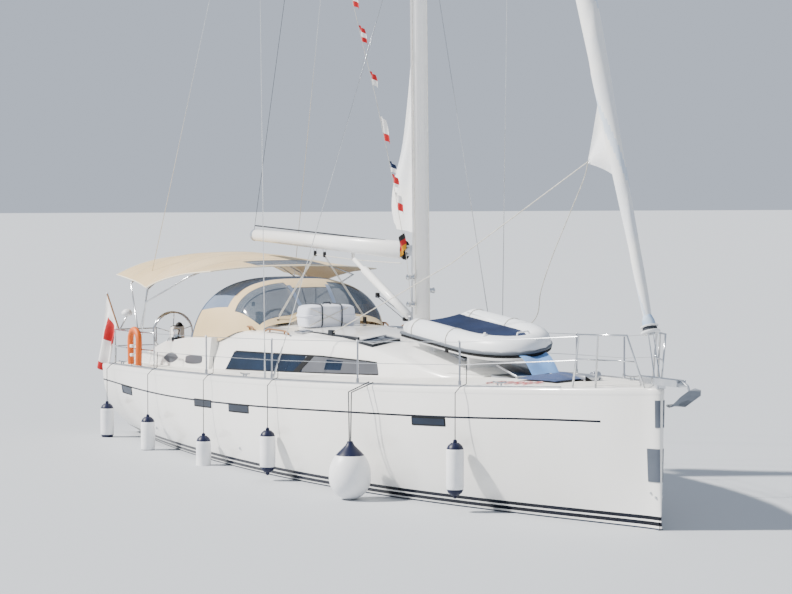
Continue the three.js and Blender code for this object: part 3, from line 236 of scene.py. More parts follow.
# Polished 316 stainless tube and wire.
STAINLESS = Finish("polished_stainless", "stainless", "#d6d8db", "#c2c6cb", 0.17, Grain.BRUSHED, 0.002, 0.0001, 6.0,
                   1.0)
# Cast iron faired and painted with epoxy: dark, slightly pitted.
IRON = Finish("epoxy_cast_iron", "iron", "#2a3040", "#3a3531", 0.7, Grain.CAST, 0.02, 0.002, 2.5)
# Cast and ground bronze of the propeller.
BRONZE = Finish("ground_bronze", "bronze", "#b58449", "#8c6a3e", 0.32, Grain.BRUSHED, 0.004, 0.0004, 9.0, 1.0)
# Smoked cast acrylic, bonded over a dark frame: deep blue-black and mirror smooth.
SMOKED = Finish("smoked_acrylic", "tinted_glass", "#0b1422", "#16273d", 0.06, pitch=0.2, depth=0.0002, mottle=0.9,
                ior=1.38)
# Grey glassfibre infill of the window line.
WINDOW_GREY = Finish("grey_window_infill", "tinted_glass", "#4c4e54", "#5d5f65", 0.3, pitch=0.02, mottle=1.0, ior=1.35)
# Pressed clear vinyl of a hood window: slightly grey, wavy.
VINYL = Finish("clear_vinyl", "tinted_glass", "#3c4654", "#56626f", 0.1, pitch=0.12, depth=0.004, mottle=2.0,
               alpha=0.62)
# Solution-dyed acrylic canvas, thread drawn at 3 mm so that it shows: sun-warmed beige.
CANVAS = Finish("acrylic_canvas", "canvas", "#dec598", "#d0b584", 0.92, Grain.WOVEN, 0.003, 0.0006, 1.1, sheen=0.25)
# Slate-grey acrylic canvas: the real grey trim and aft sleeve of the hood, and also painted shade on the hood's aft
# top, where the bimini shades it.
CANVAS_TRIM_AND_SHADE = Finish("acrylic_canvas_grey_trim_and_painted_shade", "canvas", "#6d7e98", "#5c6d88", 0.92, Grain.WOVEN, 0.003, 0.0006, 1.4,
                     sheen=0.25)
PIPING = Finish("canvas_piping", "canvas", "#efe6d2", "#e2d8c2", 0.85, Grain.WOVEN, 0.003, 0.0004)
# Woven polyester sailcloth: crisp cold white with soft creases.
SAILCLOTH = Finish("polyester_sailcloth", "sailcloth", "#f1f0ec", "#dfe3e9", 0.7, Grain.WOVEN, 0.002, 0.0004, 1.8,
                   sheen=0.1)
SAIL_SHADE = Finish("sailcloth_blue_shade", "sailcloth", "#d5dfea", "#bccbdc", 0.7, Grain.WOVEN, 0.002, 0.0004, 1.8)
# Woven blue polyester cover of the furling drum: pale blue, with darker blue patches that are painted shade. Its thread
# is drawn at 2 mm to show.
DRUM_BLUE = Finish("blue_drum_cover", "sailcloth", "#b9cbe0", "#6f9ac6", 0.8, Grain.WOVEN, 0.002, 0.0004, 6.0)
# Woven navy nylon of a stowed cloth: dark blue with a slight sheen on its folds. Its thread is drawn at 3 mm to show.
NYLON_NAVY = Finish("navy_nylon_cloth", "canvas", "#1b3b6e", "#14305c", 0.8, Grain.WOVEN, 0.003, 0.0004, 5.0,
                    sheen=0.2)
# The same nylon dyed pale blue, for the cloth over the tender's bow.
NYLON_PALE = Finish("pale_nylon_cloth", "canvas", "#6797d0", "#4f84c2", 0.8, Grain.WOVEN, 0.003, 0.0004, 5.0,
                    sheen=0.2)
# Oiled teak planks with black caulking at 50 mm.
TEAK = Finish("oiled_teak", "teak", "#a97d50", "#8d6540", 0.62, Grain.PLANKED, 0.05, 0.0006, 2.0,
              stretch=(1.0, 14.0, 4.0))
TEAK_SOLID = Finish("solid_teak", "teak", "#9c7048", "#7f5835", 0.5, Grain.BRUSHED, 0.004, 0.0004, 3.0,
                    stretch=(1.0, 12.0, 6.0))
# Injection-moulded white plastic with a light texture.
PLASTIC = Finish("moulded_white_plastic", "white_plastic", "#eceded", "#dfe1e4", 0.42, pitch=0.003, depth=0.0003)
RAFT_SHELL = Finish("raft_canister_shell", "white_plastic", "#e6e8f0", "#d5d9e6", 0.4, pitch=0.006, depth=0.0006,
                    mottle=2.5)
BLACK_PLASTIC = Finish("black_plastic", "white_plastic", "#0a0b0d", "#15171a", 0.5, pitch=0.003, depth=0.0003, ior=1.3)
# Coated fabric of an inflatable: soft semi-gloss, panel by panel slightly uneven.
BOAT_FABRIC = Finish("coated_boat_fabric", "tender_fabric", "#eef0f2", "#dde2e8", 0.38, pitch=0.03, depth=0.001,
                     mottle=1.4)
BOAT_GREY = Finish("grey_rub_strake", "tender_fabric", "#5d646e", "#4c535d", 0.6, pitch=0.006, depth=0.0006)
BOAT_NAVY = Finish("navy_boat_floor", "tender_fabric", "#0c1f42", "#091733", 0.6, Grain.GRIT, 0.008, 0.001, 2.0,
                   ior=1.3)
# Vinyl-covered foam of the lifebuoy.
BUOY_ORANGE = Finish("orange_vinyl_foam", "orange_foam", "#d96200", "#c95800", 0.55, pitch=0.01, depth=0.001,
                     mottle=5.0)
# Knitted bunting.
FLAG_RED = Finish("red_bunting", "flag_cloth", "#c60f18", "#a90b12", 0.85, Grain.WOVEN, 0.003, 0.0004, 4.0, sheen=0.2)
FLAG_WHITE = Finish("white_bunting", "flag_cloth", "#f3f1ee", "#e4e2e0", 0.85, Grain.WOVEN, 0.003, 0.0004, 4.0,
                    sheen=0.2)
FLAG_GOLD = Finish("gold_bunting", "flag_cloth", "#dc9a10", "#c98a0a", 0.85, Grain.WOVEN, 0.003, 0.0004, 4.0)
FLAG_BLACK = Finish("black_bunting", "flag_cloth", "#1b1b1d", "#262628", 0.85, Grain.WOVEN, 0.003, 0.0004, 4.0)
# Braided polyester, its plait drawn at 8 mm.
ROPE = Finish("braided_polyester", "rope", "#dcd8cd", "#b9b4a7", 0.9, Grain.BRAIDED, 0.008, 0.0015, 12.0)
ROPE_DARK = Finish("braided_dark", "rope", "#2c3038", "#3b4048", 0.9, Grain.BRAIDED, 0.008, 0.0015, 12.0)
ROPE_RED = Finish("braided_red", "rope", "#cf6266", "#efd3d1", 0.9, Grain.BRAIDED, 0.008, 0.0015, 20.0)
# Blow-moulded fender vinyl with dark ends.
FENDER = Finish("blown_vinyl", "fender_vinyl", "#f2f2f3", "#e0e2e6", 0.4, pitch=0.02, depth=0.0006, mottle=3.0)
FENDER_NAVY = Finish("blown_vinyl_navy", "fender_vinyl", "#0f1530", "#181f3d", 0.4, pitch=0.02, depth=0.0006,
                     mottle=3.0, ior=1.35)


# Modelling bench


def only(obj: Obj) -> None:
    """Select one object and make it active."""
    bpy.ops.object.select_all(action="DESELECT")
    obj.select_set(True)
    bpy.context.view_layer.objects.active = obj


def settle(name: str) -> Obj:
    """Name the primitive just added and put its place in its mesh."""
    obj = bpy.context.object
    obj.name = obj.data.name = name
    only(obj)
    bpy.ops.object.transform_apply(location=True, rotation=True, scale=True)
    return obj


def smooth(obj: Obj, degrees: float = 35.0) -> Obj:
    """Shade smooth except over sharp edges."""
    only(obj)
    bpy.ops.object.shade_smooth_by_angle(angle=math.radians(degrees))
    return obj


def modify(obj: Obj, kind: str, **settings: object) -> Obj:
    """Add a modifier and apply it.

    Args:
        obj: Piece to change.
        kind: Modifier type.
        settings: Attributes of the modifier.

    Returns:
        The same piece.
    """
    only(obj)
    modifier = obj.modifiers.new(kind.lower(), kind)
    for key, value in settings.items():
        setattr(modifier, key, value)
    bpy.ops.object.modifier_apply(modifier=modifier.name)
    return obj


def paint(obj: Obj, *finishes: Finish) -> Obj:
    """Give a piece its materials."""
    obj.data.materials.clear()
    for finish in finishes:
        obj.data.materials.append(finish.make())
    return obj


def recalculate(obj: Obj, merge: float = 1e-5) -> Obj:
    """Merge doubles, then turn the faces outwards."""
    only(obj)
    bpy.ops.object.mode_set(mode="EDIT")
    bpy.ops.mesh.select_all(action="SELECT")
    bpy.ops.mesh.remove_doubles(threshold=merge)
    bpy.ops.mesh.normals_make_consistent(inside=False)
    bpy.ops.object.mode_set(mode="OBJECT")
    return obj


def from_faces(name: str, points: Pts, faces: Sequence[Sequence[int]]) -> Obj:
    """Make a mesh object from points and faces."""
    mesh = bpy.data.meshes.new(name)
    mesh.from_pydata([tuple(p) for p in points], [], [tuple(f) for f in faces])
    obj = bpy.data.objects.new(name, mesh)
    bpy.context.scene.collection.objects.link(obj)
    return obj


def block(name: str, centre: Pt, size: Pt, finish: Finish, bevel: float = 0.006, turn: Pt = (0, 0, 0)) -> Obj:
    """Make a block with eased edges.

    Args:
        name: Piece name.
        centre: Its middle.
        size: Its three sizes.
        finish: Its material.
        bevel: Width of the eased edge.
        turn: Rotation in radians.

    Returns:
        The new piece.
    """
    bpy.ops.object.select_all(action="DESELECT")
    bpy.ops.mesh.primitive_cube_add(size=1, location=centre, rotation=turn, scale=size)
    obj = settle(name)
    modify(obj, "BEVEL", width=min(bevel, min(size) * 0.45), segments=3, limit_method="ANGLE")
    return paint(smooth(obj), finish)


def drum(name: str, foot: Pt, head: Pt, radius: float, finish: Finish, top: float = -1.0, sides: int = 24,
         bevel: float = 0.0) -> Obj:
    """Make a round bar or cone between two points.

    Args:
        name: Piece name.
        foot: Middle of its first end.
        head: Middle of its other end.
        radius: Radius at the foot.
        finish: Its material.
        top: Radius at the head, or -1 for the same.
        sides: Number of sides.
        bevel: Width of the eased rims.

    Returns:
        The new piece.
    """
    low, high = Vector(foot), Vector(head)
    along = high - low
    bpy.ops.object.select_all(action="DESELECT")
    bpy.ops.mesh.primitive_cone_add(
        vertices=sides, radius1=radius, radius2=radius if top < 0 else top, depth=along.length,
        location=(low + high) / 2, rotation=along.to_track_quat("Z", "Y").to_euler(),
    )
    obj = settle(name)
    if bevel:
        modify(obj, "BEVEL", width=bevel, segments=2, limit_method="ANGLE", angle_limit=math.radians(50))
    return paint(smooth(obj, 45), finish)


def ring(name: str, centre: Pt, axis: Pt, radius: float, thick: float, finish: Finish, around: int = 64) -> Obj:
    """Make a round hoop about an axis."""
    bpy.ops.object.select_all(action="DESELECT")
    bpy.ops.mesh.primitive_torus_add(
        location=centre, rotation=Vector(axis).to_track_quat("Z", "Y").to_euler(), major_radius=radius,
        minor_radius=thick, major_segments=around, minor_segments=12,
    )
    return paint(smooth(settle(name), 80), finish)


def turned(name: str, profile: Pts, foot: Pt, finish: Finish, axis: Pt = (0, 0, 1), steps: int = 32) -> Obj:
    """Spin a profile into a turned piece.

    Args:
        name: Piece name.
        profile: Radius and height pairs, which start and end on the axis.
        foot: Where height zero stands.
        finish: Its material.
        axis: Direction of the heights.
        steps: Number of steps round.

    Returns:
        The new piece.
    """
    mesh = bpy.data.meshes.new(name)
    mesh.from_pydata([(r, 0, h) for r, h in profile], [(i, i + 1) for i in range(len(profile) - 1)], [])
    obj = bpy.data.objects.new(name, mesh)
    bpy.context.scene.collection.objects.link(obj)
    only(obj)
    bpy.ops.object.mode_set(mode="EDIT")
    bpy.ops.mesh.select_all(action="SELECT")
    bpy.ops.mesh.spin(steps=steps, angle=2 * math.pi, center=(0, 0, 0), axis=(0, 0, 1))
    bpy.ops.object.mode_set(mode="OBJECT")
    recalculate(obj, 1e-4)
    obj.data.transform(Matrix.Translation(foot) @ Vector(axis).to_track_quat("Z", "Y").to_matrix().to_4x4())
    return paint(smooth(obj, 40), finish)


def curve_through(points: Pts, steps: int = 8) -> list[Vector]:
    """Sample a centripetal spline through points.

    Args:
        points: Points that the line passes.
        steps: Samples from one point to the next.

    Returns:
        The sampled points, the first and last included.
    """
    p = [Vector(q) for q in points]
    p = [2 * p[0] - p[1], *p, 2 * p[-1] - p[-2]]
    out = []
    for i in range(1, len(p) - 2):
        a, b, c, d = p[i - 1:i + 3]
        t0, t1 = 0.0, max((b - a).length, 1e-6) ** 0.5
        t2 = t1 + max((c - b).length, 1e-6) ** 0.5
        t3 = t2 + max((d - c).length, 1e-6) ** 0.5
        for k in range(steps):
            t = t1 + (t2 - t1) * k / steps
            e = a.lerp(b, (t - t0) / (t1 - t0))
            f = b.lerp(c, (t - t1) / (t2 - t1))
            g = c.lerp(d, (t - t2) / (t3 - t2))
            h = e.lerp(f, (t - t0) / (t2 - t0))
            j = f.lerp(g, (t - t1) / (t3 - t1))
            out.append(h.lerp(j, (t - t1) / (t2 - t1)))
    out.append(p[-2])
    return out


def pipe(name: str, points: Pts, radius: float, finish: Finish, closed: bool = False, fine: int = 2) -> Obj:
    """Make a round tube along points.

    Args:
        name: Piece name.
        points: The centreline.
        radius: Tube radius.
        finish: Its material.
        closed: Whether the ends join.
        fine: Roundness of the section.

    Returns:
        The new mesh piece.
    """
    curve = bpy.data.curves.new(name, "CURVE")
    curve.dimensions = "3D"
    curve.bevel_depth = radius
    curve.bevel_resolution = fine
    curve.use_fill_caps = not closed
    line = curve.splines.new("POLY")
    line.points.add(len(points) - 1)
    for spot, point in zip(line.points, points):
        spot.co = (*point, 1)
    line.use_cyclic_u = closed
    obj = bpy.data.objects.new(name, curve)
    bpy.context.scene.collection.objects.link(obj)
    only(obj)
    bpy.ops.object.convert(target="MESH")
    obj = bpy.context.object
    return paint(smooth(recalculate(obj), 50), finish)


def grid_sheet(name: str, rows: Sequence[Pts], finish: Finish, thickness: float = 0.0) -> Obj:
    """Make a curved sheet from rows of points.

    Args:
        name: Piece name.
        rows: Rows of equal length.
        finish: Its material.
        thickness: Wall thickness, centred on the rows, or 0 for a bare skin.

    Returns:
        The new piece.
    """
    wide = len(rows[0])
    points = [p for row in rows for p in row]
    faces = [
        (i * wide + j, i * wide + j + 1, (i + 1) * wide + j + 1, (i + 1) * wide + j)
        for i in range(len(rows) - 1) for j in range(wide - 1)
    ]
    obj = from_faces(name, points, faces)
    paint(obj, finish)
    if thickness:
        modify(obj, "SOLIDIFY", thickness=thickness, offset=0.0)
    return smooth(obj, 60)


def colour_cells(sheet: Obj, marks: Sequence[int]) -> None:
    """Colour both sides of a walled sheet cell by cell, and its rim with them.

    Args:
        sheet: A sheet from grid_sheet with a wall.
        marks: Material number of each cell, row by row.
    """
    near: dict[int, int] = {}
    for face in sheet.data.polygons:
        if face.index < 2 * len(marks):
            face.material_index = marks[face.index % len(marks)]
            near.update((vertex, face.material_index) for vertex in face.vertices)
        else:
            face.material_index = near[face.vertices[0]]


def lofted(name: str, rings: Sequence[Pts], finish: Finish, degrees: float = 40.0) -> Obj:
    """Skin closed rings and close both ends."""
    n = len(rings[0])
    points = [p for one in rings for p in one]
    faces: list[Sequence[int]] = [
        (i * n + j, i * n + (j + 1) % n, (i + 1) * n + (j + 1) % n, (i + 1) * n + j)
        for i in range(len(rings) - 1) for j in range(n)
    ]
    faces += [list(range(n))[::-1], [(len(rings) - 1) * n + j for j in range(n)]]
    return paint(smooth(recalculate(from_faces(name, points, faces)), degrees), finish)


def plate(name: str, outline: Pts, through: Pt, finish: Finish, bevel: float = 0.0) -> Obj:
    """Extrude a flat outline into a plate.

    Args:
        name: Piece name.
        outline: Corners in order.
        through: Direction and thickness.
        finish: Its material.
        bevel: Width of the eased edges.

    Returns:
        The new piece.
    """
    obj = from_faces(name, outline, [range(len(outline))])
    only(obj)
    bpy.ops.object.mode_set(mode="EDIT")
    bpy.ops.mesh.select_all(action="SELECT")
    bpy.ops.mesh.extrude_region_move(TRANSFORM_OT_translate={"value": tuple(through)})
    bpy.ops.object.mode_set(mode="OBJECT")
    recalculate(obj)
    if bevel:
        modify(obj, "BEVEL", width=bevel, segments=2, limit_method="ANGLE")
    return paint(smooth(obj), finish)


def join(name: str, pieces: Iterable[Obj]) -> Obj:
    """Join pieces into one under the first one's slot."""
    parts = list(pieces)
    only(parts[0])
    for part in parts:
        part.select_set(True)
    bpy.ops.object.join()
    obj = bpy.context.object
    obj.name = obj.data.name = name
    return obj


def copy_of(obj: Obj, name: str, matrix: Matrix) -> Obj:
    """Copy a piece with its own mesh, moved by a matrix."""
    twin = obj.copy()
    twin.data = obj.data.copy()
    twin.name = twin.data.name = name
    twin.parent = None
    bpy.context.scene.collection.objects.link(twin)
    twin.data.transform(matrix)
    if matrix.determinant() < 0:
        twin.data.flip_normals()
    return twin


MIRROR = Matrix.Scale(-1, 4, (0, 1, 0))


def restyle(node: str, name: str, *finishes: Finish, bevel: float = 0.0, degrees: float = 35.0,
            choose: Optional[Callable[[Vector, Vector], int]] = None) -> Obj:
    """Copy a node's solid, ease its edges and dress it.

    Args:
        node: CAD node to stand for.
        name: Name of the new piece.
        finishes: Its materials.
        bevel: Width of the eased edges, or 0.
        degrees: Angle up to which faces shade smooth.
        choose: Gives a material number from a face's middle and normal.

    Returns:
        The piece, riding on the node's body.
    """
    source = frame["nodes"][node]
    obj = bpy.data.objects.new(name, source.data.copy())
    obj.data.name = name
    bpy.context.scene.collection.objects.link(obj)
    recalculate(obj, 2e-4)
    if bevel:
        modify(obj, "BEVEL", width=bevel, segments=2, limit_method="ANGLE", angle_limit=math.radians(40))
    paint(obj, *finishes)
    if choose:
        for face in obj.data.polygons:
            face.material_index = choose(face.center, face.normal)
    smooth(obj, degrees)
    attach(obj, source["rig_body"])
    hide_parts(node)
    return obj


def place(obj: Obj, body: str = "hull", replaces: Sequence[str] = ()) -> Obj:
    """Let a piece ride on a body and stand for CAD nodes."""
    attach(obj, body)
    if replaces:
        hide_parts(*replaces)
    return obj


def table(rows: Pts, at: float, column: int) -> float:
    """Read a table of rising or falling first values along a smooth line.

    Args:
        rows: Rows of numbers.
        at: Value of the first column.
        column: Column to read.

    Returns:
        The smoothed value.
    """
    xs = [r[0] for r in rows]
    ys = [r[column] for r in rows]
    if xs[0] > xs[-1]:
        xs, ys = xs[::-1], ys[::-1]
    at = min(max(at, xs[0]), xs[-1])
    i = max(k for k in range(len(xs) - 1) if xs[k] <= at)
    rise = [(ys[k + 1] - ys[k]) / (xs[k + 1] - xs[k]) for k in range(len(xs) - 1)]

    def slope(k: int) -> float:
        """Slope of the line at a row."""
        if k == 0 or k == len(xs) - 1:
            return rise[0] if k == 0 else rise[-1]
        h0, h1 = xs[k] - xs[k - 1], xs[k + 1] - xs[k]
        return (rise[k - 1] * h1 + rise[k] * h0) / (h0 + h1)

    h = xs[i + 1] - xs[i]
    t = (at - xs[i]) / h
    a, b = slope(i) * h, slope(i + 1) * h
    return ((2 * t ** 3 - 3 * t ** 2 + 1) * ys[i] + (t ** 3 - 2 * t ** 2 + t) * a
            + (-2 * t ** 3 + 3 * t ** 2) * ys[i + 1] + (t ** 3 - t ** 2) * b)


def spread(start: float, end: float, count: int) -> list[float]:
    """Even steps from start to end, both included."""
    return [start + (end - start) * i / (count - 1) for i in range(count)]


# Studio


@dataclass
class Studio:
    """Pale floor at the waterline, soft light and the camera."""

    eye: Pt = (30.72, -16.25, 4.176)
    heading: Pt = (-0.8832, 0.4692)
    pitch: float = math.radians(2.562)
    lens: float = 104.74

    def floor(self) -> None:
        """Lay a wide pale floor."""
        bpy.ops.object.select_all(action="DESELECT")
        bpy.ops.mesh.primitive_plane_add(size=900)
        ground = settle("studio_floor")
        material = bpy.data.materials.new("pale_floor")
        material.use_nodes = True
        shader = material.node_tree.nodes["Principled BSDF"]
        shader.inputs["Base Color"].default_value = linear("#b9bdc2")
        shader.inputs["Roughness"].default_value = 0.75
        ground.data.materials.append(material)

    def lights(self) -> None:
        """Set a soft sun from over the starboard quarter and a pale sky."""
        sun = bpy.data.lights.new("key_sun", "SUN")
        sun.energy = 9.6
        sun.angle = math.radians(3)
        sun.color = (1.0, 0.965, 0.91)
        lamp = bpy.data.objects.new("key_sun", sun)
        lamp.rotation_euler = Vector((0.35, 0.72, -0.74)).to_track_quat("-Z", "Y").to_euler()
        bpy.context.scene.collection.objects.link(lamp)
        world = bpy.data.worlds.new("pale_sky")
        world.use_nodes = True
        back = world.node_tree.nodes["Background"]
        back.inputs["Color"].default_value = (0.76, 0.85, 1.0, 1)
        back.inputs["Strength"].default_value = 0.74
        bpy.context.scene.world = world

    def camera(self) -> None:
        """Stand the camera where the picture was taken."""
        lens = bpy.data.cameras.new("camera")
        lens.lens = self.lens
        lens.sensor_width = 36
        lens.clip_end = 2000
        obj = bpy.data.objects.new("camera", lens)
        flat = math.cos(self.pitch)
        look = Vector((self.heading[0] * flat, self.heading[1] * flat, -math.sin(self.pitch)))
        obj.location = self.eye
        obj.rotation_euler = look.to_track_quat("-Z", "Y").to_euler()
        bpy.context.scene.collection.objects.link(obj)
        bpy.context.scene.camera = obj


# Hull


@dataclass
class Hull:
    """Moulded hull with its bands, portlights and sheer strip."""

    bow: float = 7.15
    length: float = 14.3
    # Distance aft of the stem, half beam, depth, fullness of the sides and of the bottom.
    stations: Pts = (
        (0, 0.03, 0.01, 1.6, 1.4), (0.15, 0.12, 0.15, 1.7, 1.4), (0.5, 0.345, 0.29, 1.9, 1.5),
        (1.2, 0.72, 0.4, 2.2, 1.7), (2.2, 1.155, 0.49, 2.4, 2.0), (3.4, 1.553, 0.55, 2.6, 2.3),
        (5.0, 1.892, 0.6, 2.9, 2.7), (7.0, 2.103, 0.62, 3.1, 3.1), (9.0, 2.157, 0.6, 3.2, 3.1),
        (11.0, 2.129, 0.47, 3.2, 2.8), (12.8, 2.043, 0.31, 3.1, 2.5), (14.3, 1.93, 0.16, 3.0, 2.2),
    )
    # x and height of the middle of the side stripe.
    stripe: Pts = ((-7.15, 0.945), (-3.9, 0.925), (-0.5, 1.028), (2.0, 1.14), (4.25, 1.23), (5.9, 1.305), (7.15, 1.332))
    stripe_end: float = 6.48
    # First and last x, then low and high edge at both ends.
    ports: Pts = (
        (-6.06, -5.5, 0.79, 0.935), (-2.56, -1.88, 0.865, 0.99), (-1.24, -0.53, 0.89, 1.02), (3.57, 4.18, 1.085, 1.205),
    )
    door_half: float = 0.827
    door_sill: float = 0.443

    def beam(self, x: float) -> float:
        """Half beam at the deck, with a rounded stem."""
        back = self.bow - x
        if back < 0.15:
            return 0.12 * math.sqrt(max(back, 0.0) / 0.15)
        return table(self.stations, back, 1)

    def sheer(self, x: float) -> float:
        """Height of the sheer."""
        share = (self.bow - x) / self.length
        return 1.764 - 0.747 * share + 0.198 * share * share

    def deck(self, x: float, y: float) -> float:
        """Height of the cambered deck."""
        beam = max(self.beam(x), 0.01)
        share = min(1.0, abs(y) / beam)
        return self.sheer(x) + 0.08 * (1 - share * share) * min(1.0, beam)

    def side(self, x: float, z: float) -> float:
        """Half beam at a height."""
        back = self.bow - x
        top = self.sheer(x) - 0.06
        deep = top + table(self.stations, back, 2)
        fall = min(max((top - z) / deep, 0.0), 1.0) ** (table(self.stations, back, 4) / 2)
        return self.beam(x) * max(0.0, 1 - fall * fall) ** (1 / table(self.stations, back, 3))

    def levels(self, x: float) -> list[tuple[float, float, int]]:
        """Points of half a section with the band below each.

        Args:
            x: Place of the section.

        Returns:
            Height, half beam and material number of the strip under each point.
        """
        top = self.sheer(x) - 0.06
        depth = table(self.stations, self.bow - x, 2)
        mid = self._stripe(x)
        lift = 0.012 * max(0.0, x) / self.bow
        marks = [(top, 0), ((top + mid) / 2 + 0.007, 0), (mid + 0.013, 1), (mid - 0.013, 0)]
        low = 0.158 + lift
        marks += [(mid - 0.013 + (low - mid + 0.013) * k / 7, 0) for k in range(1, 7)]
        marks += [(low, 1), (low - 0.048, 0), (low - 0.07, 1), (low - 0.12, 0), (0.02, 2)]
        rows = [(z, self.side(x, z), m) for z, m in marks if z > -depth]
        while len(rows) < len(marks):
            rows.append((-depth, 0.0, 2))
        start = (top - 0.02) / (top + depth)
        bottom = table(self.stations, self.bow - x, 4)
        turn0 = math.asin(min(1.0, start ** (bottom / 2)))
        for k in range(1, 11):
            turn = turn0 + (math.pi / 2 - turn0) * k / 10
            z = top - (top + depth) * math.sin(turn) ** (2 / bottom)
            y = 0.0 if k == 10 else self.beam(x) * math.cos(turn) ** (2 / table(self.stations, self.bow - x, 3))
            rows.append((z, y, 2))
        return rows

    def _stripe(self, x: float) -> float:
        """Height of the middle of the side stripe."""
        return table(self.stripe, x, 1)

    def skin(self) -> Obj:
        """Loft the whole skin with its painted bands."""
        back = [0.0, 0.004, 0.012, 0.03, 0.06, 0.1, 0.15, 0.25, 0.37, 0.5, 0.7, 0.95]
        back += spread(1.2, self.length, 54)
        points: list[Pt] = []
        faces: list[Sequence[int]] = []
        marks: list[int] = []
        columns = []
        for distance in back:
            x = self.bow - distance
            half = self.levels(x)
            row = [(x, -y, z) for z, y, _ in half] + [(x, y, z) for z, y, _ in half[-2::-1]]
            columns.append(len(points))
            points += row
        size = len(half)
        bands = [m for _, _, m in half]
        ring_marks = bands[:size - 1] + bands[:size - 1][::-1]
        for i in range(len(back) - 1):
            a, b = columns[i], columns[i + 1]
            for j in range(2 * size - 2):
                faces.append((a + j, a + j + 1, b + j + 1, b + j))
                mark = ring_marks[j]
                near = min(j, 2 * size - 3 - j)
                if near == 2 and self.bow - back[i] > self.stripe_end:
                    mark = 0
                marks.append(mark)
        obj = from_faces("hull_skin", points, faces)
        paint(obj, GELCOAT, NAVY, BOTTOM)
        for face, mark in zip(obj.data.polygons, marks):
            face.material_index = mark
        recalculate(obj, 1e-4)
        modify(obj, "SOLIDIFY", thickness=0.03, offset=-1.0)
        return smooth(obj, 60)

    def transom(self) -> Obj:
        """Close the stern round the doorway."""
        x = -7.15
        half = self.levels(x)
        star = [(x + 0.002, -y, z) for z, y, _ in half]
        port = [(x + 0.002, y, z) for z, y, _ in half[-2::-1]]
        top = self.sheer(x) - 0.06
        gate = [(x + 0.002, self.door_half, top), (x + 0.002, self.door_half, self.door_sill),
                (x + 0.002, -self.door_half, self.door_sill), (x + 0.002, -self.door_half, top)]
        return plate("transom_moulding", star + port + gate, (0.05, 0, 0), GELCOAT)

    def strip(self) -> Obj:
        """Roll the moulded sheer over the deck edge."""
        rows = []
        for distance in ([0.0, 0.004, 0.012, 0.03, 0.06, 0.1, 0.15, 0.25, 0.37, 0.5, 0.7, 0.95]
                         + spread(1.2, self.length, 54)):
            x = self.bow - distance
            b, s = self.beam(x), self.sheer(x)

            def inside(reach: float) -> float:
                """Half beam a little inboard."""
                return max(b - reach, 0.0)

            rows.append([
                (x, -b - 0.001, s - 0.075), (x, -b - 0.004, s - 0.06), (x, -b - 0.004, s - 0.02),
                (x, -inside(0.004), s + 0.004), (x, -inside(0.03), self.deck(x, inside(0.03)) + 0.007),
                (x, -inside(0.1), self.deck(x, inside(0.1)) + 0.007),
                (x, -inside(0.108), self.deck(x, inside(0.108)) - 0.004),
            ])
        star = grid_sheet("sheer_strip", rows, GELCOAT)
        return join("sheer_strip", [star, copy_of(star, "sheer_strip_port", MIRROR)])

    def patch(self, name: str, corners: Pt, side: int, proud: float, finish: Finish, wall: float = 0.006,
              rounding: float = 0.12) -> Obj:
        """Lay a curved panel on the hull side.

        Args:
            name: Piece name.
            corners: First and last x, low and high edge.
            side: -1 for starboard, 1 for port.
            proud: How far it stands off the skin.
            finish: Its material.
            wall: Its thickness.
            rounding: Corner radius as a share of its height.

        Returns:
            The new panel with rounded ends.
        """
        x0, x1, z0, z1 = corners
        lean = (self._stripe(x1) - self._stripe(x0)) / (x1 - x0)
        r = (z1 - z0) * rounding
        rows = []
        for x in [x0, x0 + r * 0.3, x0 + r, *spread(x0 + r, x1 - r, 8)[1:-1], x1 - r, x1 - r * 0.3, x1]:
            near = min(x - x0, x1 - x)
            trim = r - math.sqrt(max(0.0, r * r - max(0.0, r - near) ** 2)) if near < r else 0.0
            rise = lean * (x - (x0 + x1) / 2)
            rows.append([
                (x, side * (self.side(x, z + rise) + proud), z + rise) for z in spread(z0 + trim, z1 - trim, 6)
            ])
        return grid_sheet(name, rows, finish, wall)

    def portlights(self) -> Obj:
        """Set smoked lights in dark rims along both sides."""
        parts = []
        for i, (x0, x1, z0, z1) in enumerate(self.ports):
            for side in (-1, 1):
                tag = f"{i}_{'sp'[side > 0]}"
                parts.append(self.patch(f"port_rim_{tag}", (x0, x1, z0, z1), side, 0.001, BLACK_PLASTIC, 0.006))
                parts.append(self.patch(f"port_pane_{tag}", (x0 + 0.02, x1 - 0.02, z0 + 0.018, z1 - 0.018), side, 0.003,
                                        SMOKED, 0.006))
        return join("hull_portlights", parts)

    def stem_pad(self) -> Obj:
        """Put the grey protection pad and the vents at the stem."""
        rows = []
        for z in spread(0.6, 1.015, 12):
            row = []
            for x in spread(6.99, 7.146, 12):
                row.append((x, -self.side(x, z) - 0.005, z))
            rows.append(row)
        parts = [grid_sheet("stem_pad_s", rows, PAD_GREY, 0.006)]
        parts.append(copy_of(parts[0], "stem_pad_p", MIRROR))
        rows = [[(x, -self.side(x, z) - 0.004, z) for x in spread(7.1, 7.147, 6)] for z in spread(1.28, 1.62, 8)]
        parts.append(grid_sheet("stem_strip_s", rows, PAD_GREY, 0.006))
        parts.append(copy_of(parts[-1], "stem_strip_p", MIRROR))
        for x, z in ((7.02, 0.46), (7.09, 0.41)):
            for side in (-1, 1):
                y = side * self.side(x, z)
                parts.append(drum("drain", (x, y - side * 0.01, z), (x, y + side * 0.012, z), 0.016, STAINLESS))
        for x, z in ((-4.6, 0.32), (-1.0, 0.34), (1.8, 0.36)):
            for side in (-1, 1):
                y = side * self.side(x, z)
                parts.append(drum("skin_outlet", (x, y - side * 0.01, z), (x, y + side * 0.01, z), 0.024, STAINLESS))
        return join("stem_pad_and_drains", parts)

    def build(self) -> None:
        """Build and place every hull piece."""
        place(self.skin(), "hull", ["hull_shell"])
        place(self.transom())
        place(self.strip())
        place(self.portlights())
        place(self.stem_pad())
        LOG.info("hull done")


HULL = Hull()


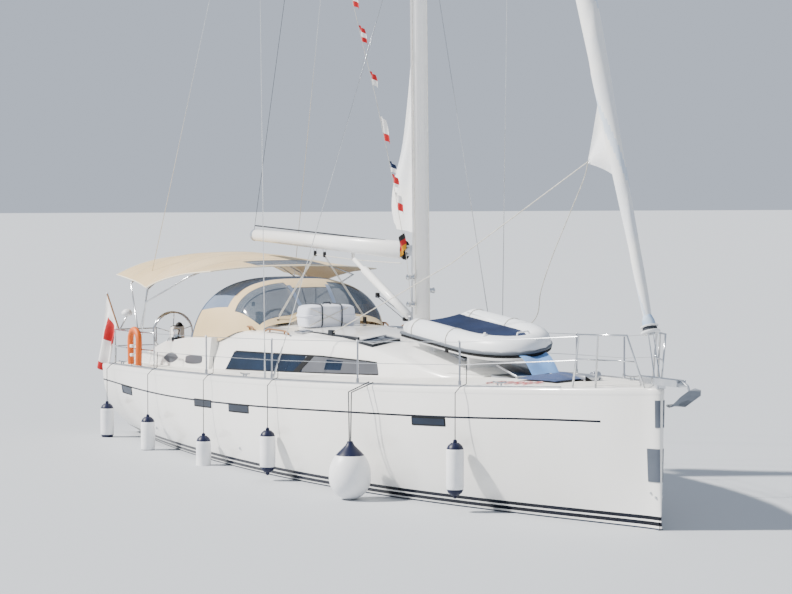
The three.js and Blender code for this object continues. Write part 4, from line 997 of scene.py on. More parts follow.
# Superstructure


@dataclass
class Superstructure:
    """Deck, coachroof with its windows and hatches, and the cockpit moulding."""

    # x, half width at the deck and height of the crown.
    roof: Pts = (
        (-3.45, 1.47, 2.11), (-1.5, 1.39, 2.12), (0.1, 1.26, 2.11), (1.2, 1.13, 2.06), (2.0, 0.96, 1.93),
        (2.8, 0.7, 1.78), (3.4, 0.38, 1.7),
    )
    lean: float = 0.3
    camber: float = 0.09
    # Window outline: x and height of the lower edge, then of the upper edge.
    window_low: Pts = ((-2.93, 1.38), (1.56, 1.585))
    window_high: Pts = ((-2.93, 1.385), (-2.78, 1.69), (0.0, 1.775), (1.24, 1.775), (1.46, 1.765), (1.56, 1.6))
    divider: float = -0.45
    winches: Pts = ((-3.15, 0.76), (-5.0, 1.43))

    def straight(self, rows: Pts, x: float, column: int = 1) -> float:
        """Read a table along straight lines."""
        for a, b in zip(rows, rows[1:]):
            if x <= b[0]:
                return a[column] + (b[column] - a[column]) * (x - a[0]) / (b[0] - a[0])
        return rows[-1][column]

    def roof_side(self, x: float, z: float) -> float:
        """Half width of the coachroof side at a height."""
        wide = self.straight(self.roof, x, 1)
        return wide - self.lean * (z - HULL.deck(x, wide))

    def roof_top(self, x: float, y: float) -> float:
        """Height of the coachroof."""
        edge = self.straight(self.roof, x, 1) - 0.15
        return self.straight(self.roof, x, 2) - self.camber * (y / edge) ** 2

    def roof_choice(self, middle: Vector, normal: Vector) -> int:
        """Pick white, track black or winch metal by place."""
        for x, y in self.winches[:1]:
            if math.hypot(middle.x - x, abs(middle.y) - y) < 0.095 and middle.z > 2.06:
                return 2
        if (abs(abs(middle.y) - 0.87) < 0.03 and -1.41 < middle.x < 0.61
                and middle.z > self.roof_top(middle.x, 0.87) - 0.02):
            return 1
        return 0

    def cockpit_choice(self, middle: Vector, normal: Vector) -> int:
        """Pick white, teak or winch metal by place."""
        for x, y in self.winches[1:]:
            if math.hypot(middle.x - x, abs(middle.y) - y) < 0.095 and middle.z > 1.6:
                return 2
        seat = abs(middle.z - 1.28) < 0.004 or abs(middle.z - 0.85) < 0.004
        return 1 if seat and normal.z > 0.9 else 0

    def pane(self, name: str, low: Callable[[float], float], high: Callable[[float], float], x0: float, x1: float,
             inset: float, finish: Finish, side: int, wall: float = 0.006) -> Obj:
        """Lay a panel on the coachroof side.

        Args:
            name: Piece name.
            low: Lower edge by x.
            high: Upper edge by x.
            x0: Aft end.
            x1: Forward end.
            inset: How far it lies below the roof side.
            finish: Its material.
            side: -1 for starboard, 1 for port.
            wall: Its thickness.

        Returns:
            The new panel.
        """
        rows = []
        for x in spread(x0, x1, 40):
            rows.append([
                (x, side * (self.roof_side(x, z) - inset), z) for z in spread(low(x), max(high(x), low(x) + 0.002), 6)
            ])
        return grid_sheet(name, rows, finish, wall)

    def windows(self, side: int) -> Obj:
        """Make one side's long window with its trim and grey fore section."""
        def low(x: float) -> float:
            """Lower edge."""
            return self.straight(self.window_low, x)

        def high(x: float) -> float:
            """Upper edge."""
            return self.straight(self.window_high, x)

        cut = self.divider
        tag = "s" if side < 0 else "p"
        parts = [
            self.pane(f"pane_main_{tag}", low, high, -2.93, cut, -0.002, SMOKED, side),
            self.pane(f"pane_trim_{tag}", lambda x: high(x) - 0.02, high, -2.79, 1.46, -0.004, BLACK_PLASTIC, side),
            self.pane(f"pane_sill_{tag}", low, lambda x: low(x) + 0.014, -2.93, 1.56, -0.004, BLACK_PLASTIC, side),
            self.pane(f"pane_grey_{tag}", low, high, cut, 1.56, -0.002, WINDOW_GREY, side),
            self.pane(f"fore_light_{tag}", lambda x: low(x) + 0.055, lambda x: high(x) - 0.05, 0.18, 0.62, -0.0045,
                      SMOKED, side),
        ]
        # The slanted post between the two parts of the window.
        rows = []
        for share in spread(0, 1, 7):
            z = low(cut) + share * (high(cut) - low(cut))
            x = cut - 0.16 + 0.33 * share
            rows.append([(x + dx, side * (self.roof_side(x + dx, z) + 0.005), z) for dx in (-0.09, -0.03, 0.03, 0.09)])
        parts.append(grid_sheet(f"window_post_{tag}", rows, BLACK_PLASTIC, 0.008))
        return join(f"cabin_window_{tag}", parts)

    def hatch_rims(self) -> None:
        """Frame the roof hatches and dress each lid."""
        for side, node in ((-1, "roof_hatch_stbd"), (1, "roof_hatch_port")):
            lid = restyle(node, node + "_lid", SMOKED, BLACK_ALLOY, bevel=0.008,
                          choose=lambda c, n: 0 if n.z > 0.8 and abs(abs(c.y) - 0.72) < 0.19
                          and abs(c.x - 0.965) < 0.19 else 1)
            lid.name = node + "_lid"
            rim = []
            for dx, dy, sx, sy in ((0.215, 0, 0.03, 0.46), (-0.215, 0, 0.03, 0.46), (0, 0.215, 0.46, 0.03),
                                   (0, -0.215, 0.46, 0.03)):
                x, y = 0.965 + dx, side * 0.72 + dy
                z = self.roof_top(x, y) + 0.031
                rim.append(block("rim_bar", (x, y, z), (sx, sy, 0.012), ALUMINIUM, 0.004, (-side * 0.157, 0.055, 0)))
            place(join(node + "_rim", rim), node)
        lid = restyle("fore_hatch", "fore_hatch_lid", SMOKED, ALUMINIUM, bevel=0.008,
                      choose=lambda c, n: 0 if n.z > 0.8 and abs(c.y) < 0.24 and abs(c.x - 3.84) < 0.24 else 1)
        lid.name = "fore_hatch_lid"
        frame_bars = [
            block("coaming_bar", (3.83, 0.306, 1.678), (0.63, 0.035, 0.03), ALUMINIUM, 0.008),
            block("coaming_bar", (3.83, -0.306, 1.678), (0.63, 0.035, 0.03), ALUMINIUM, 0.008),
            block("coaming_bar", (3.526, 0, 1.69), (0.035, 0.64, 0.03), ALUMINIUM, 0.008, (0, 0.05, 0)),
        ]
        place(join("fore_hatch_coaming", frame_bars))

    def deck_lights(self) -> Obj:
        """Set the small flush hatches and side-deck lights."""
        parts = []
        for x, y, sx, sy in ((2.35, 0.0, 0.42, 0.42), (-0.75, 0.55, 0.3, 0.3), (-1.1, -0.95, 0.26, 0.2),
                             (4.75, 0.0, 0.3, 0.3)):
            z = self.roof_top(x, y) if x < 3.2 else HULL.deck(x, y)
            slope = 0.16 if x == 2.35 else 0.03
            parts.append(block("light_frame", (x, y, z + 0.006), (sx, sy, 0.03), ALUMINIUM, 0.01,
                               (-y * 0.12, slope, 0)))
            parts.append(block("light_glass", (x, y, z + 0.016), (sx - 0.06, sy - 0.06, 0.02), SMOKED, 0.006,
                               (-y * 0.12, slope, 0)))
        return join("flush_hatches", parts)

    def rails(self) -> Obj:
        """Fit the teak grab rails and the rope clutches on the roof."""
        parts = []
        for side in (-1, 1):
            for x0, x1 in ((-3.0, -2.4), (-1.95, -1.1)):
                line = [(x, side * 1.2, self.roof_top(x, 1.2) + 0.04 - 0.035 * (x in (x0, x1)))
                        for x in spread(x0, x1, 9)]
                parts.append(pipe("grab_rail", line, 0.015, TEAK_SOLID))
                for x in (x0 + 0.16, x1 - 0.16):
                    z = self.roof_top(x, 1.2)
                    parts.append(drum("rail_foot", (x, side * 1.2, z - 0.01), (x, side * 1.2, z + 0.04), 0.012,
                                      TEAK_SOLID))
            for k in range(4):
                y = side * (0.52 + 0.055 * k)
                z = self.roof_top(-2.75, y)
                if abs(y) > 0.46:
                    parts.append(block("clutch", (-2.62, y, z + 0.035), (0.17, 0.045, 0.07), BLACK_PLASTIC, 0.012))
                    parts.append(block("clutch_lever", (-2.6, y, z + 0.078), (0.12, 0.026, 0.016), PLASTIC, 0.005,
                                       (0, -0.12, 0)))
        return join("grab_rails_and_clutches", parts)

    def coaming_lights(self) -> Obj:
        """Set the pointed and the rounded light in each coaming side."""
        parts = []
        for side in (-1, 1):
            for x0, x1, z0, z1, power in ((-5.3, -4.68, 1.36, 1.53, 0.75), (-4.36, -3.72, 1.4, 1.545, 0.16)):
                rows = []
                for x in spread(x0, x1, 24):
                    share = (x - x0) / (x1 - x0)
                    swell = max(0.02, math.sin(math.pi * share)) ** power
                    mid = (z0 + z1) / 2 + 0.06 * (x - (x0 + x1) / 2)
                    reach = (z1 - z0) / 2 * swell
                    rows.append([(x, side * (self.coaming_side(x, z) + 0.003), z)
                                 for z in spread(mid - reach, mid + reach, 5)])
                parts.append(grid_sheet("coaming_pane", rows, WINDOW_GREY, 0.008))
        return join("coaming_lights", parts)

    coaming: Pts = ((-6.95, 1.52, 1.34), (-6.25, 1.56, 1.46), (-5.35, 1.59, 1.69), (-4.37, 1.59, 1.815),
                    (-3.4506, 1.56, 1.86))

    def coaming_side(self, x: float, z: float) -> float:
        """Half width of the coaming's outer face at a height."""
        wide = self.straight(self.coaming, x, 1)
        top = self.straight(self.coaming, x, 2)
        return wide - 0.09 * (z - 1.0) / (top - 1.0)

    def winch_details(self) -> Obj:
        """Give the winches their crowns and handles' sockets."""
        parts = []
        for x, y in self.winches:
            for side in (-1, 1):
                base = self.roof_top(x, y) - 0.03 if x > -4 else self.straight(self.coaming, x, 2) - 0.03
                parts.append(turned("winch_crown", [(0, 0.208), (0.062, 0.208), (0.066, 0.214), (0.05, 0.226),
                                                    (0.018, 0.229),
                                                    (0.012, 0.222), (0, 0.222)], (x, side * y, base), STAINLESS))
                parts.append(turned("winch_skirt", [(0, 0.02), (0.09, 0.02), (0.092, 0.05), (0.088, 0.079), (0, 0.079)],
                                    (x, side * y, base), BLACK_ALLOY))
        return join("winch_crowns", parts)

    def build(self) -> None:
        """Build and place every piece of the superstructure."""
        restyle("deck", "deck_moulding", NONSLIP, GELCOAT, degrees=30,
                choose=lambda c, n: 0 if n.z > 0.85 else 1)
        restyle("coachroof", "roof_moulding", GELCOAT, BLACK_ALLOY, STAINLESS, bevel=0.006, degrees=32,
                choose=self.roof_choice)
        restyle("cockpit", "cockpit_moulding", GELCOAT, TEAK, STAINLESS, bevel=0.008, degrees=35,
                choose=self.cockpit_choice)
        place(self.windows(-1), "hull", ["window_stbd"])
        place(self.windows(1), "hull", ["window_port"])
        self.hatch_rims()
        for piece in (self.deck_lights(), self.rails(), self.coaming_lights(), self.winch_details()):
            place(piece)
        restyle("companion_hatch", "sliding_hatch", SMOKED, bevel=0.008)
        restyle("companion_door", "cabin_door", SMOKED, bevel=0.004)
        restyle("bathing_platform", "stern_platform", GELCOAT, TEAK, bevel=0.008,
                choose=lambda c, n: 1 if n.x > 0.9 and c.x > -7.1 else 0)
        LOG.info("superstructure done")


TOP = Superstructure()


# Rig


@dataclass
class Rig:
    """Mast, boom, vang, wires, furled sail and running rigging."""

    forestay: Pts = ((7.1, 0, 1.87), (0.69, 0, 19.9))
    # Height and radius of the roll.
    roll: Pts = ((2.545, 0.04), (2.62, 0.05), (2.8, 0.06), (3.6, 0.076), (4.6, 0.098), (6.7, 0.135), (9.5, 0.115),
                 (14.0, 0.08), (19.3, 0.04))
    clew: Pt = (5.45, 0.0, 4.6)
    # Height, half span, sweep and rise of the spreaders.
    spreaders: Pts = ((8.6, 2.09, 0.96, 0.09), (14.5, 1.6, 0.74, 0.08))
    stanchions: Pt = (4.36, 2.37, 0.11, -2.2)
    sheet: Pts = (
        (5.444, 0, 4.6), (5.28, 0.06, 4.42), (4.7, 0.17, 3.87), (4.0, 0.35, 3.31), (3.3, 0.6, 2.8), (2.85, 0.83, 2.48),
        (2.3, 1.0, 2.28), (1.6, 1.06, 2.16), (1.1, 1.045, 2.12), (0.77, 1.005, 2.108), (0.35, 0.935, 2.102),
        (-0.1, 0.871, 2.096), (-0.2285, 0.87, 2.095),
    )

    def mast_x(self, z: float) -> float:
        """Middle of the raked mast at a height."""
        return 0.93 - (z - 2.6) * 0.021

    def on_stay(self, z: float) -> Vector:
        """Point of the forestay at a height."""
        low, high = Vector(self.forestay[0]), Vector(self.forestay[1])
        return low.lerp(high, (z - low.z) / (high.z - low.z))

    def tip(self, row: int, side: int) -> Vector:
        """Outer end of a spreader."""
        z, span, sweep, rise = self.spreaders[row]
        return Vector((self.mast_x(z) - sweep, side * span, z + rise))

    def lazy_sheet(self) -> Obj:
        """Hang the slack port sheet from the clew to its car."""
        line = curve_through(self.sheet, 5)
        rope = pipe("slack_jib_sheet", line, 0.007, ROPE, fine=2)
        return place(rope, "hull", ["jib_sheet_port"])

    def spar(self) -> None:
        """Dress the mast and hang its small fittings."""
        restyle("mast", "mast_spar", SPAR_WHITE, degrees=50)
        parts = []
        for z in spread(2.45, 19.6, 70):
            parts.append(block("slot_mark", (
                self.mast_x(z) - 0.183 * (1 if z < 17 else 1 - 0.2 * (z - 17.6) / 2.6 if z > 17.6 else 1), 0, z),
                               (0.008, 0.03, 0.17), BLACK_PLASTIC, 0.003))
        place(join("mast_slot", parts))
        parts = []
        for z, side in ((2.55, -1), (2.75, 1), (2.95, -1)):
            y = side * 0.105
            parts.append(turned("mast_winch", [(0, 0), (0.05, 0), (0.05, 0.03), (0.036, 0.05), (0.034, 0.09),
                                               (0.045, 0.12), (0.03, 0.13), (0, 0.13)],
                                (self.mast_x(z) - 0.02, y * 0.95, z), STAINLESS, (0, side, 0)))
        x = self.mast_x(12.2) + 0.17
        parts.append(block("deck_light", (x + 0.03, 0, 12.2), (0.12, 0.09, 0.1), BLACK_PLASTIC, 0.02))
        parts.append(turned("steaming_light", [(0, 0), (0.03, 0), (0.033, 0.03), (0.03, 0.07), (0, 0.075)],
                            (x + 0.05, 0, 12.27), FLAG_WHITE))
        top = self.mast_x(20.2)
        parts.append(pipe("aerial", [(top - 0.15, 0, 20.2), (top - 0.16, 0.0, 20.7)], 0.006, PLASTIC))
        parts.append(pipe("wind_arm", [(top + 0.1, 0.02, 20.22), (top + 0.32, 0.02, 20.5), (top + 0.42, 0.02, 20.52)],
                          0.006, BLACK_PLASTIC))
        parts.append(turned("top_light", [(0, 0), (0.035, 0), (0.038, 0.05), (0.03, 0.08), (0, 0.085)],
                            (top, 0, 20.21), FLAG_WHITE))
        for z in (8.75, 14.7, 16.9):
            parts.append(block("halyard_exit", (self.mast_x(z) - 0.05, -0.1, z), (0.05, 0.03, 0.16), STAINLESS, 0.008))
        place(join("mast_fittings", parts))

    def boom_and_vang(self) -> None:
        """Dress the boom, its end cap, the vang and its tackle."""
        restyle("boom", "boom_spar", SPAR_WHITE, ALUMINIUM, degrees=50, choose=lambda c, n: 1 if c.x > 0.441 else 0)
        track = [
            block("boom_track", (-2.28, 0, 3.545), (5.3, 0.05, 0.02), BLACK_ALLOY, 0.004, (0, 0.0348, 0)),
            lofted("boom_cap", [[(x, 0.08 * w * math.cos(a), 3.4795 + 0.099 * w * math.sin(a))
                                 for a in spread(0, 2 * math.pi, 25)[:-1]]
                                for x, w in ((-4.93, 1.02), (-4.99, 1.03), (-5.03, 0.9), (-5.045, 0.5))], SPAR_GREY),
            lofted("boom_front", [[(x, 0.082 * w * math.cos(a), 3.336 + 0.142 * w * math.sin(a))
                                   for a in spread(0, 2 * math.pi, 25)[:-1]]
                                  for x, w in ((0.4, 1.015), (0.436, 1.02), (0.446, 0.9), (0.449, 0.4))],
                   BLACK_PLASTIC),
        ]
        for x in (-2.64, -2.3):
            z = 3.335 + 0.146 * (0.44 - x) / 5.44
            track.append(ring("boom_bail", (x, 0, z - 0.13), (1, 0, 0), 0.028, 0.005, STAINLESS, 24))
            track.append(block("boom_block", (x, 0, z - 0.2), (0.07, 0.035, 0.09), BLACK_PLASTIC, 0.015))
        place(join("boom_fittings", track), "boom")
        for node in ("gooseneck_toggle", "vang_toggle", "mast_brackets"):
            restyle(node, node + "_cast", ALUMINIUM, bevel=0.003)
        restyle("vang_tube", "vang_sleeve", SPAR_WHITE, BLACK_PLASTIC, degrees=50,
                choose=lambda c, n: 1 if c.x < -0.78 and c.x > -0.92 else 0)
        restyle("vang_rod", "vang_inner", SPAR_WHITE, degrees=50)
        tackle = [pipe("vang_fall", [(0.48, y, 2.31), (-0.45, y * 0.6, 2.62)], 0.006, ROPE_DARK) for y in (-0.05, 0.05)]
        tackle.append(block("vang_block", (-0.47, 0, 2.63), (0.08, 0.05, 0.08), BLACK_PLASTIC, 0.015))
        tackle.append(block("vang_block", (0.47, 0, 2.31), (0.07, 0.12, 0.06), BLACK_PLASTIC, 0.015))
        place(join("vang_tackle", tackle), "vang_tube")

    def mainsheet(self) -> None:
        """Lead the mainsheet from the boom blocks to both sides of the roof."""
        for tag, head, foot in (("stbd", (-2.64, 0, 3.2), (-2.42, -0.78)), ("port", (-2.3, 0, 3.19), (-2.3, 0.72))):
            z = TOP.roof_top(*foot)
            low = (*foot, z + 0.1)
            falls = join(f"mainsheet_{tag}", [
                pipe("sheet_fall", [(head[0] + off, 0, head[2]), (low[0] + off, low[1], low[2])], 0.006, ROPE)
                for off in (-0.022, 0.022)
            ])
            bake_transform(falls)
            place(block(f"foot_block_{tag}", (*foot, z + 0.06), (0.08, 0.04, 0.1), BLACK_PLASTIC, 0.014))
        place(pipe("sheet_run", [(-2.6, 0.0, 3.2), (-1.2, 0.0, 3.15), (0.3, 0.0, 3.14)], 0.006, ROPE), "boom")

    def topping_lift(self) -> None:
        """Hold the boom's end from the masthead."""
        low, high = (-5.0, 0, 3.58), (self.mast_x(20.1) - 0.22, 0, 20.1)
        line = pipe("topping_lift", [low, high], 0.004, ROPE_DARK, fine=1)
        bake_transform(line)

    def wires(self) -> Obj:
        """Stretch the diagonals, halyards and the taut sheet."""
        parts = []
        for side in (-1, 1):
            parts.append(pipe("diagonal", [self.tip(0, side), (self.mast_x(14.2), side * 0.1, 14.2)], 0.005, STAINLESS,
                              fine=1))
            parts.append(pipe("upper_diagonal", [self.tip(1, side), (self.mast_x(19.0), side * 0.09, 19.0)], 0.005,
                              STAINLESS, fine=1))
            deck = HULL.deck(-0.17, 2.03)
            for x, y in ((-0.17, 2.03), (-0.13, 1.92)):
                top = (Vector((self.tip(0, side).x, side * 2.1, 8.69)) if x < -0.15
                       else Vector((self.mast_x(8.45), side * 0.11, 8.45)))
                low = Vector((x, side * y, deck + 0.0))
                way = (top - low).normalized()
                parts.append(drum("turnbuckle", low, low + way * 0.34, 0.016, STAINLESS, 0.012, 12))
                parts.append(drum("wire_end", low + way * 0.34, low + way * 0.5, 0.009, STAINLESS, 0.007, 12))
        parts.append(pipe("stay_top", [self.on_stay(19.2), self.forestay[1], (self.mast_x(20.0) + 0.1, 0, 20.0)],
                          0.006, STAINLESS, fine=1))
        parts.append(pipe("spare_halyard", [(0.98, -0.12, 2.4), (0.84, -0.13, 8.4), (0.66, -0.12, 19.2)], 0.005, ROPE,
                          fine=1))
        parts.append(pipe("spinnaker_halyard", [(1.14, 0.02, 2.3), (0.96, 0.02, 12.0), (0.78, 0.02, 19.9)], 0.004,
                          ROPE, fine=1))
        parts.append(pipe("taut_jib_sheet", [(5.45, -0.01, 4.59), (2.6, -0.44, 3.2), (-0.22, -0.87, 2.1)], 0.007, ROPE))
        return join("standing_and_running_lines", parts)

    def furled(self) -> Obj:
        """Roll the headsail with its spiral edges."""
        along = (Vector(self.forestay[1]) - Vector(self.forestay[0])).normalized()
        side = Vector((0, 1, 0))
        up = side.cross(along)
        rings = []
        for z in spread(2.545, 19.3, 190):
            middle = self.on_stay(z)
            r = table(self.roll, z, 1)
            row = []
            for k in range(28):
                turn = 2 * math.pi * k / 28
                edge = (turn / (2 * math.pi) + z * 0.42) % 1.0
                swell = 1 + 0.1 * edge + 0.025 * math.sin(3 * turn + z * 2.1) - 0.05
                row.append(middle + side * (r * swell * math.cos(turn)) + up * (r * swell * math.sin(turn)))
            rings.append(row)
        obj = lofted("rolled_headsail", rings, SAILCLOTH, 55)
        obj.data.materials.append(SAIL_SHADE.make())
        for face in obj.data.polygons:
            off = face.center - self.on_stay(face.center.z)
            wrap = (face.center.z * 0.42 + math.atan2(off.y, off.x) / (2 * math.pi)) % 1.0
            face.material_index = 1 if wrap > 0.86 else 0
        return obj

    def clew_flap(self) -> Obj:
        """Leave the clew corner out of the roll, hollow along its edges."""
        top, low = self.on_stay(5.65), self.on_stay(4.33)
        tip = Vector(self.clew)
        rows = []
        for s in spread(0, 1, 15):
            root = top.lerp(low, s)
            row = []
            for t in spread(0, 1, 17):
                end = tip + Vector((0, 0, 0.03 - 0.06 * s))
                p = root.lerp(end, t)
                hollow = 0.05 * math.sin(math.pi * t)
                p.z += hollow * (s - 0.5) * 1.1
                p.y += 0.05 * math.sin(math.pi * t) * math.sin(math.pi * s * 2.2) * (1 - t * 0.6)
                row.append(p)
            rows.append(row)
        flap = grid_sheet("headsail_clew", rows, SAILCLOTH, 0.004)
        ring_piece = ring("clew_ring", (5.49, 0, 4.6), (0, 1, 0), 0.028, 0.006, STAINLESS, 24)
        place(ring_piece)
        return flap

    def furler(self) -> Obj:
        """Build the furling drum with its line and blue cover."""
        way = (Vector(self.forestay[1]) - Vector(self.forestay[0])).normalized()
        foot = self.on_stay(2.44)
        parts = [
            turned("drum_lower", [(0, 0), (0.12, 0), (0.125, 0.006), (0.125, 0.022), (0.118, 0.028), (0.074, 0.03),
                                  (0.074, 0.078),
                                  (0.11, 0.08), (0.115, 0.086), (0.115, 0.096), (0.1, 0.102), (0.05, 0.104),
                                  (0.038, 0.14), (0, 0.14)],
                   foot, PLASTIC, way),
            turned("drum_line", [(0, 0.03), (0.09, 0.031), (0.094, 0.052), (0.09, 0.077), (0, 0.078)], foot, ROPE_DARK,
                   way),
            turned("drum_cover", [(0, 0.1), (0.085, 0.1), (0.078, 0.17), (0.05, 0.24), (0, 0.24)], foot,
                   DRUM_BLUE, way),
        ]
        return join("furler_drum_and_cover", parts)

    def main_clew(self) -> Obj:
        """Leave the mainsail's corner out of the mast slot."""
        slot = [self.mast_x(z) - 0.1805 for z in (3.6, 6.4)]
        edge = [(3.6, 0.57), (3.66, 0.605), (3.93, 0.72), (4.225, 0.69), (4.81, 0.4), (5.58, 0.18), (6.4, 0.02)]
        rows = []
        for z in [3.6, 3.63, 3.66, 3.75, *spread(3.9, 6.4, 26)]:
            front = slot[0] + (slot[1] - slot[0]) * (z - 3.6) / 2.8
            reach = table(edge, z, 1)
            rows.append([
                (front - reach * t, 0.035 * math.sin(t * 6 + z * 3.0) * math.sin(math.pi * t) * min(1, reach * 3),
                 z + 0.05 * t * (z < 3.7))
                for t in spread(0, 1, 11)
            ])
        sail = grid_sheet("mainsail_corner", rows, SAILCLOTH, 0.004)
        return sail

    def flags(self) -> None:
        """Fly the small signal flags and the striped flag by the mast."""
        line = [Vector(p) for p in ((0.05, -1.15, 8.6), (0.46, -0.9, 7.01), (0.53, -0.55, 5.6), (0.68, -0.38, 4.55),
                                    (0.84, -0.21, 3.3),
                                    (0.93, -0.16, 2.5))]
        place(pipe("flag_halyard", line, 0.004, ROPE, fine=1))
        white, red = FLAG_WHITE, FLAG_RED
        flags = (
            (7.12, 0.2, (white, red)), (6.65, 0.24, (red, white, red)), (5.98, 0.2, (red, white)),
            (5.32, 0.36, (white, white, red)),
            (4.66, 0.15, (BOAT_NAVY, white)), (4.47, 0.18, (red, red, white)), (4.2, 0.26, (white, red)),
        )
        for i, (z, drop, stripes) in enumerate(flags):
            above, below = next((a, b) for a, b in zip(line, line[1:]) if b.z <= z)
            top = above.lerp(below, (above.z - z) / (above.z - below.z))
            down = (below - above).normalized() * drop
            self.flag(f"signal_flag_{i + 1}", top, down, Vector((0.1, 0.04, -0.03)), stripes)
        self.flag("striped_flag", Vector((0.83, -0.24, 3.62)),
                  Vector((0.03, 0.02, -0.26)), Vector((-0.05, -0.07, -0.09)),
                  (FLAG_BLACK, red, FLAG_GOLD))

    def flag(self, name: str, hoist: Vector, down: Vector, fly: Vector, stripes: Sequence[Finish]) -> None:
        """Hang a small striped flag.

        Args:
            name: Piece name.
            hoist: Upper corner on the line.
            down: From the upper to the lower corner.
            fly: From the line to the free edge.
            stripes: Finishes from the top to the bottom.
        """
        rows = []
        for s in spread(0, 1, 13):
            rows.append([
                hoist + down * s + fly * t + Vector((0.0, 0.02 * math.sin(7 * t + 3 * s), -0.03 * t * t))
                for t in spread(0, 1, 9)
            ])
        cloth = grid_sheet(name, rows, stripes[0], 0.002)
        for extra in stripes[1:]:
            cloth.data.materials.append(extra.make())
        colour_cells(cloth, [i * len(stripes) // 12 for i in range(12) for _ in range(8)])
        place(cloth)

    def rails(self) -> None:
        """Dress the rails and stretch the guard wires."""
        for name in ("cap_shroud_stbd", "cap_shroud_port", "lower_shroud_stbd", "lower_shroud_port", "backstay_stbd",
                     "backstay_port"):
            restyle(name, name + "_wire", STAINLESS, degrees=70)
        for side in ("stbd", "port"):
            restyle(f"toe_rail_{side}", f"rail_track_{side}", ALUMINIUM, bevel=0.004, degrees=50)
            restyle(f"pulpit_{side}", f"bow_rail_{side}", STAINLESS, degrees=60)
            restyle(f"pushpit_{side}", f"stern_rail_{side}", STAINLESS, PLASTIC, degrees=50,
                    choose=lambda c, n: 1 if math.hypot(c.x + 6.6, c.y + 1.69) < 0.1 and c.z > 2.07 else 0)
        parts = []
        for side in (-1, 1):
            for drop in (0.0, 0.3):
                line = [Vector((6.13, side * 0.594, 2.375 - drop))]
                for x in self.stanchions:
                    y = HULL.beam(x) - 0.055
                    line.append(Vector((x, side * y, HULL.sheer(x) + 0.6 - drop)))
                line.append(Vector((-4.64, side * (HULL.beam(-4.64) - 0.11), HULL.sheer(-4.64) + 0.59 - drop)))
                parts.append(pipe("guard_wire", line, 0.0045, STAINLESS, fine=1))
            for x in self.stanchions:
                y = HULL.beam(x) - 0.055
                parts.append(turned("stanchion_cap", [(0, -0.012), (0.016, -0.012), (0.016, 0.004), (0.01, 0.014),
                                                      (0, 0.014)],
                                    (x, side * y, HULL.sheer(x) + 0.61), PLASTIC, steps=16))
        place(join("guard_wires", parts))

    def build(self) -> None:
        """Build and place every piece of the rig."""
        self.spar()
        self.boom_and_vang()
        self.mainsheet()
        self.topping_lift()
        place(self.wires())
        place(self.furled(), "hull", ["headsail_furled"])
        place(self.clew_flap())
        place(self.furler())
        place(self.main_clew(), "hull", ["mainsail_clew"])
        self.flags()
        self.rails()
        LOG.info("rig done")


RIG = Rig()


# Canvas work


